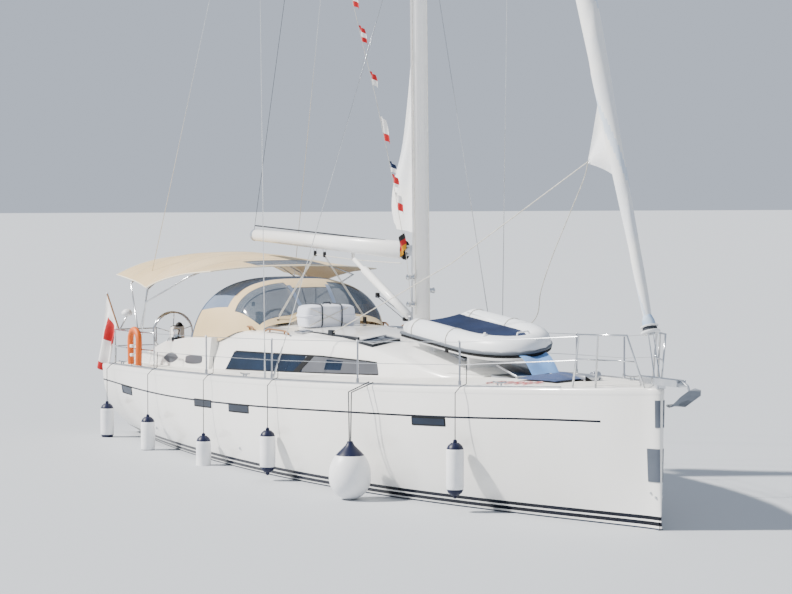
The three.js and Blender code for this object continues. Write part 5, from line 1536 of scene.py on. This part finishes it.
@dataclass
class Canopies:
    """Bimini and sprayhood with their clear panels and hoops."""

    # x, half width, height of the edge and of the crown.
    bimini: Pts = (
        (-3.4, 1.5, 2.93, 3.0), (-4.3, 1.55, 2.83, 3.09), (-5.2, 1.6, 2.69, 3.15), (-5.9, 1.62, 2.57, 3.17),
        (-6.6, 1.64, 2.66, 3.14), (-7.25, 1.62, 2.76, 3.08),
    )
    # Crown x, base x, half width, base height, crown height, curtain foot.
    hood: Pts = (
        (-2.33, -2.33, 1.08, 1.99, 2.15, 1.985), (-2.9, -2.8, 1.27, 2.0, 2.69, 1.985),
        (-3.45, -3.5, 1.37, 1.9, 2.81, 1.79),
        (-3.8, -4.33, 1.44, 1.78, 2.8, 1.73),
    )

    def edge(self, x: float) -> float:
        """Height of the bimini's edge, hollow between its hoops."""
        rows = self.bimini
        for a, b in zip(rows, rows[1:]):
            if x >= b[0]:
                share = (a[0] - x) / (a[0] - b[0])
                along = (x + 5.9) / 2.5 if x > -5.9 else (-5.9 - x) / 1.35
                return a[2] + (b[2] - a[2]) * share + 0.05 * math.sin(math.pi * min(1.0, along) ** 0.7)
        return rows[-1][2]

    def top(self, x: float, share: float) -> Vector:
        """Point of the bimini by x and by share of its half width."""
        rows = [(-r[0], *r[1:]) for r in self.bimini]
        half, crown = table(rows, -x, 1), table(rows, -x, 3)
        edge = self.edge(x)
        return Vector((x, half * share, edge + (crown - edge) * (1 - abs(share) ** 2.6)))

    def build_bimini(self) -> None:
        """Stretch the bimini with its grey fore band and light piping."""
        rows = [[self.top(x, s) for s in spread(-1, 1, 45)] for x in spread(-7.25, -3.4, 61)]
        cloth = grid_sheet("bimini_canopy", rows, CANVAS, 0.006)
        cloth.data.materials.append(VINYL.make())
        for face in cloth.data.polygons:
            face.material_index = 1 if -4.1 < face.center.x < -3.5 and abs(face.center.y) < 0.62 else 0
        rim = [self.top(x, -1) for x in spread(-7.25, -3.4, 40)] + [self.top(-3.4, s) for s in spread(-1, 1, 30)][1:]
        rim += ([self.top(x, 1) for x in spread(-3.4, -7.25, 40)][1:]
                + [self.top(-7.25, s) for s in spread(1, -1, 30)][1:-1])
        piping = pipe("bimini_piping", rim, 0.011, PIPING, True)
        seams = [pipe("seam", [self.top(x, s) + Vector((0, 0, 0.003)) for s in spread(-0.98, 0.98, 31)], 0.005, PIPING,
                      fine=1)
                 for x in (-4.3, -5.2, -5.9, -6.6)]
        seams = join("bimini_seams", seams)
        place(cloth, "hull", ["bimini"])
        place(piping)
        place(seams)
        restyle("bimini_frame", "bimini_hoops", STAINLESS, degrees=60)
        place(block("roof_locker_panel", (-4.25, -0.62, 2.985), (0.62, 0.62, 0.02), PLASTIC, 0.006, (0.09, -0.06, 0)))

    def arch(self, t: float, angle: float) -> Vector:
        """Point of the sprayhood by row and by angle from starboard."""
        rows = [(float(i), *r) for i, r in enumerate(self.hood)]
        crown_x, base_x, half, base, crown = (table(rows, t, k) for k in (1, 2, 3, 4, 5))
        up = max(0.0, math.sin(angle)) ** 0.75
        turn = math.cos(angle)
        across = -math.copysign(abs(turn) ** 0.7, turn)
        return Vector((base_x + (crown_x - base_x) * up, half * across, base + (crown - base) * up))

    def hood_choice(self, t: float, angle: float) -> int:
        """Pick canvas, grey canvas or clear panel by place on the hood. The grey over the aft top is painted shade from
        the bimini.
        """
        share = angle / math.pi
        half = min(share, 1 - share)
        out = 0.5 - half
        # The aft top lies under the bimini: its grey is painted shade, not grey cloth.
        if t > 1.62:
            return 1 if half > 0.12 else 0
        if 0.2 < t < 0.92 and out < 0.047:
            return 2
        if 0.16 < t < 1.22 and 0.06 < out < 0.4:
            return 2
        return 1 if 0.16 < t < 1.05 and 0.04 < out < 0.065 else 0

    def build_hood(self) -> None:
        """Stretch the sprayhood with its clear windows, grey seams and painted shade on its aft top."""
        around, rows = 72, []
        for i in range(49):
            t = 3 * i / 48
            foot = table([(float(k), r[5]) for k, r in enumerate(self.hood)], t, 1)
            row = [self.arch(t, math.pi * j / around) for j in range(around + 1)]
            for p in row:
                p.z += 0.05 * max(0.0, 1 - t / 0.6) * min(1.0, max(0.0, (0.56 - abs(p.y)) / 0.12))
            first, last = row[0].copy(), row[-1].copy()
            first.z, last.z = min(foot, first.z - 0.01), min(foot, last.z - 0.01)
            rows.append([first, *row, last])
        hood = grid_sheet("sprayhood_cover", rows, CANVAS, 0.005)
        hood.data.materials.append(CANVAS_TRIM_AND_SHADE.make())
        hood.data.materials.append(VINYL.make())
        colour_cells(hood, [
            self.hood_choice(3 * (i + 0.5) / 48, math.pi * (j - 0.5) / around if 0 < j <= around else 0.0)
            for i in range(48) for j in range(around + 2)
        ])
        line = [self.arch(3.0, math.pi * j / around) for j in range(around + 1)]
        rim = pipe("hood_rim", line, 0.014, CANVAS_TRIM_AND_SHADE)
        place(hood, "hull", ["sprayhood"])
        place(rim)
        hoops = [pipe("hood_hoop", [self.arch(t, math.pi * j / 40) * 0.985 + Vector((-0.04, 0, 0.02))
                                    for j in range(41)], 0.011, STAINLESS)
                 for t in (1.0, 2.0, 2.9)]
        place(join("hood_hoops", hoops))

    def build(self) -> None:
        """Build both canopies."""
        self.build_bimini()
        self.build_hood()
        LOG.info("canopies done")


# Cockpit gear


@dataclass
class CockpitGear:
    """Wheels, instruments, table and the ladder on the platform."""

    wheel_x: float = -6.2
    wheel_y: float = 1.0
    wheel_z: float = 1.78
    radius: float = 0.36
    tilt: float = 8.0

    def wheel(self, side: int, node: str) -> None:
        """Build one steering wheel on its hub.

        Args:
            side: -1 for starboard and 1 for port.
            node: Its CAD node.
        """
        tilt = math.radians(self.tilt)
        restyle(node, node + "_spokes", STAINLESS, degrees=60)
        place_at = Vector((self.wheel_x, side * self.wheel_y, self.wheel_z))
        turn = Matrix.Translation(place_at) @ Matrix.Rotation(-tilt, 4, "Y")
        cover = ring(node + "_grip", (0, 0, 0), (1, 0, 0), self.radius, 0.0162, STAINLESS, 96)
        cover.data.transform(turn)
        cap = turned(node + "_cap", [(0, -0.03), (0.03, -0.03), (0.034, -0.024), (0.03, -0.012), (0, -0.012)],
                     (0, 0, 0), ALUMINIUM, (1, 0, 0))
        cap.data.transform(turn)
        place(cover, node)
        place(cap, node)

    def instruments(self) -> Obj:
        """Dress the pedestals with dials, a compass and the engine lever.

        Returns:
            The instruments of both pedestals.
        """
        parts = []
        for side in (-1, 1):
            y = side * 1.0
            parts.append(block("dial_pod", (-6.02, y, 1.885), (0.14, 0.2, 0.05), BLACK_PLASTIC, 0.012, (0, -0.25, 0)))
            parts.append(turned("compass", [(0, 0), (0.06, 0), (0.062, 0.02), (0.05, 0.05), (0.025, 0.068),
                                            (0, 0.072)], (-5.92, y, 1.905), BLACK_PLASTIC))
            parts.append(turned("compass_card", [(0, 0.01), (0.045, 0.012), (0.04, 0.05), (0.02, 0.0735), (0, 0.0745)],
                                (-5.92, y, 1.905), SMOKED))
            parts.append(block("engine_lever", (-5.99, y - side * 0.12, 1.62), (0.03, 0.02, 0.16), STAINLESS, 0.007,
                               (0, 0.3, 0)))
        return join("helm_instruments", parts)

    def build(self) -> None:
        """Build the gear of the cockpit and stern."""
        self.wheel(-1, "wheel_stbd")
        self.wheel(1, "wheel_port")
        place(self.instruments())
        restyle("cockpit_table", "cockpit_table_teak", TEAK_SOLID, GELCOAT, bevel=0.008,
                choose=lambda c, n: 1 if c.z < 1.3 else 0)
        parts = []
        for y in (-0.3, 0.3):
            parts.append(pipe("ladder_side", [(-7.163, y, 0.6), (-7.175, y, 0.62), (-7.175, y, 1.02),
                                              (-7.163, y, 1.04)], 0.011, STAINLESS))
        for z in (0.68, 0.82, 0.96):
            parts.append(block("ladder_tread", (-7.172, 0, z), (0.016, 0.6, 0.035), TEAK_SOLID, 0.005))
        place(join("bathing_ladder", parts), "bathing_platform")
        LOG.info("cockpit gear done")


# Bow gear and deck stores


@dataclass
class BowGear:
    """Anchor, roller, windlass, cleats and the stern light."""

    cleats: Pt = (4.95, -0.9, -6.35)
    # Distance along a cleat's horns from its middle, and their height.
    horn: Pts = ((-0.16, 0.062), (-0.1, 0.056), (0, 0.052), (0.1, 0.056), (0.16, 0.062))

    def cleat(self, x: float, side: int) -> list[Obj]:
        """Build one horned mooring cleat on the deck edge.

        Args:
            x: Place along the yacht.
            side: -1 for starboard and 1 for port.

        Returns:
            Its horn and two feet.
        """
        y = side * (HULL.beam(x) - 0.12)
        z = HULL.deck(x, y)
        along = Vector((1, 0, (HULL.sheer(x + 0.1) - HULL.sheer(x - 0.1)) / 0.2)).normalized()
        base = Vector((x, y, z))
        horn = [base + along * d + Vector((0, 0, h)) for d, h in self.horn]
        parts = [pipe("cleat_horn", horn, 0.012, STAINLESS)]
        for d in (-0.045, 0.045):
            foot = base + along * d
            parts.append(drum("cleat_foot", foot - Vector((0, 0, 0.01)), foot + Vector((0, 0, 0.055)), 0.016,
                              STAINLESS, 0.011, 16))
        return parts

    def build(self) -> None:
        """Build the gear of the bow."""
        restyle("stem_fitting", "stem_casting", STAINLESS, bevel=0.004, degrees=40)
        restyle("anchor", "plough_anchor", STAINLESS, bevel=0.004, degrees=35)
        restyle("windlass", "anchor_windlass", ALUMINIUM, BLACK_PLASTIC, bevel=0.008, degrees=40,
                choose=lambda c, n: 1 if c.y < 0.05 and c.z < 1.78 else 0)
        parts = []
        for x in self.cleats:
            for side in (-1, 1):
                parts += self.cleat(x, side)
        place(join("mooring_cleats", parts))
        place(block("navigation_lights", (-7.03, 0.9, 2.2), (0.05, 0.06, 0.08), BLACK_PLASTIC, 0.014))
        place(block("chain_locker_lid", (4.98, 0, HULL.deck(4.98, 0)), (0.72, 0.62, 0.03), GELCOAT, 0.012,
                    (0, -0.04, 0)))
        LOG.info("bow gear done")


@dataclass
class DeckStores:
    """Liferaft, tender with its cloths and rope, lifebuoy, ensign and fenders."""

    # x, height of the top, radius and length.
    fenders: Pts = ((4.5, 0.96, 0.118, 0.78), (0.31, 0.78, 0.115, 0.7), (-1.9, 0.5, 0.115, 0.7),
                    (-4.3, 0.585, 0.115, 0.7), (-6.5, 0.62, 0.115, 0.7))
    ball: Pt = (2.72, 0.8, 0.29)
    stern: float = 1.42
    bow: float = 3.98
    half: float = 0.47
    tube: float = 0.175
    heel: float = math.radians(7)

    def raft(self) -> None:
        """Build the liferaft canister with its lashings."""
        rings = []
        x0, x1, y0, y1 = -1.87, -1.41, -0.74, 0.14
        xm, ym = (x0 + x1) / 2, (y0 + y1) / 2
        base = TOP.roof_top(xm, ym) - 0.01
        steps = 40
        for z, grow in ((0.0, 0.9), (0.02, 0.97), (0.09, 1.0), (0.155, 1.0), (0.16, 1.035), (0.185, 1.035),
                        (0.19, 1.0), (0.26, 0.99), (0.31, 0.95), (0.335, 0.82), (0.345, 0.55)):
            ring_points = []
            for k in range(steps):
                a = 2 * math.pi * k / steps
                c, s = math.cos(a), math.sin(a)
                ring_points.append((
                    xm + (x1 - x0) / 2 * grow * math.copysign(abs(c) ** 0.42, c),
                    ym + (y1 - y0) / 2 * grow * math.copysign(abs(s) ** 0.36, s), base + z,
                ))
            rings.append(ring_points)
        place(lofted("raft_canister", rings, RAFT_SHELL, 40), "hull", ["liferaft"])
        straps = []
        for y in (-0.48, -0.14):
            loop = [(xm + 0.245 * math.copysign(abs(math.cos(a)) ** 0.35, math.cos(a)), y,
                     base + 0.175 + 0.178 * math.copysign(abs(math.sin(a)) ** 0.4, math.sin(a)))
                     for a in spread(0, 2 * math.pi, 41)[:-1]]
            straps.append(pipe("strap_edge", loop, 0.012, ROPE_DARK, True, 1))
        for a, b in (((x1 + 0.012, -0.7, 0.03), (x1 + 0.012, -0.04, 0.3)),
                     ((x1 + 0.012, -0.7, 0.3), (x1 + 0.012, -0.04, 0.03))):
            straps.append(pipe("lashing", [(a[0], a[1], base + a[2]), (b[0], b[1], base + b[2])], 0.006, ROPE))
        straps.append(pipe("raft_handle", [(xm + 0.04, -0.38, base + 0.34), (xm + 0.04, -0.36, base + 0.375),
                                           (xm + 0.04, -0.26, base + 0.375), (xm + 0.04, -0.24, base + 0.34)],
                           0.011, ROPE_DARK))
        place(join("raft_lashings", straps))

    def boat(self, x: float, y: float, z: float = 0.0) -> Vector:
        """Turn a place in the lashed tender into the yacht's own.

        Args:
            x: Place along both.
            y: Distance to port of the tender's middle line.
            z: Distance above it.

        Returns:
            The place.
        """
        middle = 2.3 - 0.21 * (x - self.stern) / (self.bow - self.stern)
        level, lean = math.cos(self.heel), math.sin(self.heel)
        return Vector((x, y * level - z * lean, middle + y * lean + z * level))

    def tube_line(self, out: float, up: float) -> list[Vector]:
        """Line beside the tender's tube, from one stern end round the bow.

        Args:
            out: Distance outboard of the tube's centreline.
            up: Distance above it.

        Returns:
            The points.
        """
        reach = self.half + out
        line = [self.boat(x, -reach, up) for x in spread(self.stern + 0.05, 3.08, 12)]
        for k in range(1, 20):
            a = math.pi * k / 20
            line.append(self.boat(3.08 + (0.88 + out) * math.sin(a), -reach * math.cos(a), up))
        return line + [self.boat(x, reach, up) for x in spread(3.08, self.stern + 0.05, 12)]

    def tender(self) -> None:
        """Dress the lashed tender with its strakes, floor and straps."""
        restyle("tender_tubes", "boat_tubes", BOAT_FABRIC, degrees=60)
        restyle("tender_hull", "boat_floor", BOAT_NAVY, PLASTIC, degrees=40, bevel=0.004,
                choose=lambda c, n: 0 if n.z > 0.15 else 1)
        parts = []
        for finish, lift, radius in ((BOAT_GREY, -0.035, 0.024), (BLACK_PLASTIC, -0.078, 0.024)):
            out = math.sqrt(self.tube ** 2 - lift ** 2) - 0.004
            parts.append(pipe("strake", self.tube_line(out, lift), radius, finish))
        rows = []
        for x in [1.5, *spread(1.6, 3.0, 10), *[3.0 + 0.72 * math.sin(math.pi * k / 16) for k in range(1, 9)]]:
            wide = 0.335 * (math.sqrt(max(0.0, 1 - ((x - 3.0) / 0.73) ** 2)) if x > 3.0 else 1)
            rows.append([self.boat(x, wide * t, 0.085 - 0.02 * (1 - t * t)) for t in spread(-1, 1, 17)])
        parts.append(grid_sheet("boat_deck_pad", rows, BOAT_NAVY, 0.02))
        for x in (1.8, 2.8):
            for side in (-1, 1):
                loop = [self.boat(x, side * (self.half + 0.179 * math.cos(a)), 0.179 * math.sin(a))
                        for a in spread(-0.5, 2.6, 17)]
                parts.append(pipe("hold_down", loop, 0.006, ROPE, fine=1))
        parts.append(block("strap_buckle", self.boat(2.8, -self.half - 0.16, -0.06), (0.07, 0.03, 0.16), BLACK_PLASTIC,
                           0.01))
        handle = [self.boat(3.86, y, z) for y, z in ((-0.1, 0.165), (-0.08, 0.2), (0.08, 0.2), (0.1, 0.165))]
        parts.append(pipe("bow_handle", handle, 0.012, PLASTIC))
        parts.append(turned("boat_valve", [(0, 0), (0.035, 0), (0.035, 0.015), (0.02, 0.02), (0.018, 0.04), (0, 0.042)],
                            self.boat(3.55, -0.42, 0.17), PLASTIC, (0.1, -0.3, 1)))
        place(join("tender_strakes", parts))

    def cloths(self) -> None:
        """Lay the blue cloths at the tender's bow and the red rope in loose flakes."""
        x, y, w, l = 5.0, -0.2, 0.95, 0.62
        rows = []
        for s in spread(0, 1, 33):
            row = []
            for t in spread(0, 1, 25):
                px, py = x + (s - 0.5) * w, y + (t - 0.5) * l
                swell = (math.sin(math.pi * s) * math.sin(math.pi * t)) ** 0.5
                fold = 0.012 * math.sin(9 * s + 4 * t) + 0.008 * math.sin(17 * t - 5 * s)
                row.append((px, py, HULL.deck(px, py) + 0.022 + (0.06 + fold) * swell))
            rows.append(row)
        folded = grid_sheet("navy_cloth", rows, NYLON_NAVY, 0.004)
        place(folded)
        rows = []
        for s in spread(0, 1, 21):
            top, low = Vector((3.96, -0.2 + 0.42 * s, 2.0 + 0.05 * s)), Vector((4.5, -0.26 + 0.42 * s, 1.765))
            rows.append([top.lerp(low, t) + Vector((0.02 * math.sin(8 * s), 0, 0.012 * math.sin(6 * s + 4 * t)
                                                    + 0.05 * math.sin(math.pi * t)))
                         for t in spread(0, 1, 21)])
        drape = grid_sheet("pale_cloth", rows, NYLON_PALE, 0.003)
        place(drape)
        line, turn = [], 0.042
        for k in range(11):
            px, middle = 4.46 + 2 * turn * k, -0.87 + 0.02 * k
            way = 1 if k % 2 else -1
            reach = 0.07 + 0.02 * math.sin(k * 1.7)
            line += [(px, middle - way * reach * 0.6), (px, middle + way * reach * 0.6)]
            if k < 10:
                line += [(px + turn * (1 - math.cos(a)), middle + 0.01
                          + way * (reach * 0.6 + 0.02 + turn * math.sin(a)))
                         for a in spread(0, math.pi, 7)]
        path = curve_through([(x, y, HULL.deck(x, y) + 0.012) for x, y in line], 3)
        rope = pipe("red_rope", path, 0.009, ROPE_RED, fine=1)
        place(rope)

    def lifebuoy(self) -> None:
        """Dress the horseshoe lifebuoy with its straps and bracket."""
        restyle("lifebuoy", "horseshoe_buoy", BUOY_ORANGE, bevel=0.014, degrees=50)
        straps = []
        for z in (1.47, 1.62):
            for side in (-1, 1):
                x = -5.43 + side * 0.135
                straps.append(block("reflective_band", (x, -2.012, z), (0.13, 0.064, 0.05), FLAG_WHITE, 0.01))
        straps.append(pipe("buoy_bracket", [(-5.62, -1.975, 1.38), (-5.62, -1.96, 1.3), (-5.24, -1.96, 1.3),
                                            (-5.24, -1.975, 1.38)], 0.009, STAINLESS))
        place(join("buoy_bands", straps))

    def ensign(self) -> None:
        """Hang the ensign in folds from its staff."""
        head, foot = Vector((-7.42, -1.74, 2.42)), Vector((-7.018, -1.672, 1.79))
        rows = []
        slope = (head.y - foot.y) / (head.x - foot.x)
        for s in spread(0, 1, 33):
            top = Vector((-7.418, 0, 2.39)).lerp(Vector((-7.105, 0, 1.9)), s)
            low = Vector((-7.57, 0, 1.22)).lerp(Vector((-7.2, 0, 1.06)), s)
            row = []
            for share in spread(0, 1, 33):
                t = share + 0.1 * (0.5 - s) * math.sin(math.pi * share)
                p = top.lerp(low, t)
                p.y = foot.y + slope * (p.x - foot.x) + 0.055 * math.sin(10.5 * s + 1.5 * t) * min(1, 2.5 * t)
                p.y -= 0.14 * t * (1 - 0.6 * s)
                p.z -= 0.07 * math.sin(math.pi * s) * t
                row.append(p)
            rows.append(row)
        cloth = grid_sheet("ensign_cloth", rows, FLAG_RED, 0.003)
        cloth.data.materials.append(FLAG_WHITE.make())
        colour_cells(cloth, [0 if j >= 28 or (i >= 12 and 5 <= j < 16) else 1 for i in range(32) for j in range(32)])
        place(cloth, "hull", ["ensign"])
        staff = [pipe("staff_pole", [foot, head], 0.0155, TEAK_SOLID),
                 turned("staff_truck", [(0, 0), (0.02, 0.0), (0.024, 0.012), (0.015, 0.024), (0, 0.026)], head,
                        PLASTIC)]
        place(join("ensign_staff", staff))

    def fender(self, number: int, x: float, top: float, radius: float, length: float) -> None:
        """Build one cylindrical fender with navy ends and its lanyard.

        Args:
            number: Its number from the bow.
            x: Place along the yacht.
            top: Height of its top.
            radius: Its radius.
            length: Its length.
        """
        y = -(HULL.beam(x) + radius + 0.006)
        foot = top - length
        eye = 0.045
        body = [(0, eye), (radius * 0.45, eye), (radius * 0.8, eye + 0.035), (radius * 0.97, eye + 0.08),
                (radius, eye + 0.13),
                (radius, length - eye - 0.13), (radius * 0.97, length - eye - 0.08),
                (radius * 0.8, length - eye - 0.035), (radius * 0.45, length - eye), (0, length - eye)]
        piece = turned(f"fender_body_{number}", body, (x, y, foot), FENDER)
        piece.data.materials.append(FENDER_NAVY.make())
        for face in piece.data.polygons:
            h = face.center.z - foot
            face.material_index = 1 if h < eye + 0.07 or h > length - eye - 0.07 else 0
        place(piece, "hull", [f"fender_{number}"])
        parts = []
        for h in (0.0, length):
            sign = 1 if h else -1
            parts.append(turned("fender_eye", [(0, length - eye - 0.006 if h else eye + 0.006),
                                               (0.03, length - eye if h else eye), (0.026, h - sign * 0.012),
                                               (0.012, h), (0, h)],
                                (x, y, foot), FENDER_NAVY, steps=20))
        sheer = HULL.sheer(x)
        parts.append(pipe("lanyard", [(x, y, top - 0.02), (x, y, sheer - 0.06), (x, y + radius * 0.6, sheer + 0.01),
                                      (x, -(HULL.beam(x) - 0.045), sheer + 0.05),
                                      (x, -(HULL.beam(x) - 0.05), sheer + 0.3)], 0.0065, ROPE_DARK))
        place(join(f"fender_fittings_{number}", parts))

    def ball_fender(self) -> None:
        """Build the ball fender with its navy cap and twin ropes."""
        x, top, radius = self.ball
        y = -(HULL.beam(x) + radius + 0.006)
        foot = top - 0.8
        shares = [(0.12, 0.0), (0.34, 0.012), (0.6, 0.055), (0.8, 0.12), (0.93, 0.19), (0.99, 0.26), (1.0, 0.33),
                  (0.98, 0.41), (0.92, 0.48),
                  (0.82, 0.55), (0.68, 0.61), (0.5, 0.665), (0.34, 0.71), (0.22, 0.745), (0.16, 0.775), (0.13, 0.8)]
        profile = [(0.0, 0.0)] + [(radius * share, h) for share, h in shares] + [(0.0, 0.8)]
        piece = turned("ball_fender_body", profile, (x, y, foot), FENDER, steps=48)
        piece.data.materials.append(FENDER_NAVY.make())
        for face in piece.data.polygons:
            h = face.center.z - foot
            face.material_index = 1 if h > 0.6 else 0
        place(piece, "hull", ["fender_ball"])
        sheer = HULL.sheer(x)
        parts = [pipe("ball_rope", [(x + d, y, top - 0.03), (x + d * 2.2, y, sheer - 0.08),
                                    (x + d * 3, -(HULL.beam(x) - 0.03), sheer + 0.045)], 0.009, ROPE_DARK)
                 for d in (-0.02, 0.02)]
        place(join("ball_ropes", parts))

    def build(self) -> None:
        """Build all the stowed equipment."""
        self.raft()
        self.tender()
        self.cloths()
        self.lifebuoy()
        self.ensign()
        for i, row in enumerate(self.fenders):
            self.fender(i + 1, *row)
        self.ball_fender()
        LOG.info("stores done")


@dataclass
class Below:
    """Everything under the water and inside the hull."""

    def build(self) -> None:
        """Build the appendages, the drive and the inside."""
        restyle("keel", "cast_keel", BOTTOM, IRON, degrees=35, choose=lambda c, n: 1 if c.z < -1.72 else 0)
        restyle("rudder", "spade_rudder", BOTTOM, STAINLESS, degrees=35, choose=lambda c, n: 1 if c.z > -0.33 else 0)
        restyle("saildrive", "drive_leg", ALUMINIUM, degrees=40)
        restyle("propeller", "bronze_propeller", BRONZE, degrees=40)
        restyle("engine", "diesel_engine", IRON, bevel=0.01)
        restyle("cabin_sole", "cabin_sole_boards", TEAK, degrees=30)
        LOG.info("underwater and inside done")


def main() -> None:
    """Build the yacht in order."""
    logging.basicConfig(level=logging.INFO)
    studio = Studio()
    studio.camera()
    RIG.lazy_sheet()
    studio.floor()
    studio.lights()
    HULL.build()
    TOP.build()
    Canopies().build()
    CockpitGear().build()
    RIG.build()
    BowGear().build()
    DeckStores().build()
    Below().build()


if __name__ == "__main__":
    main()
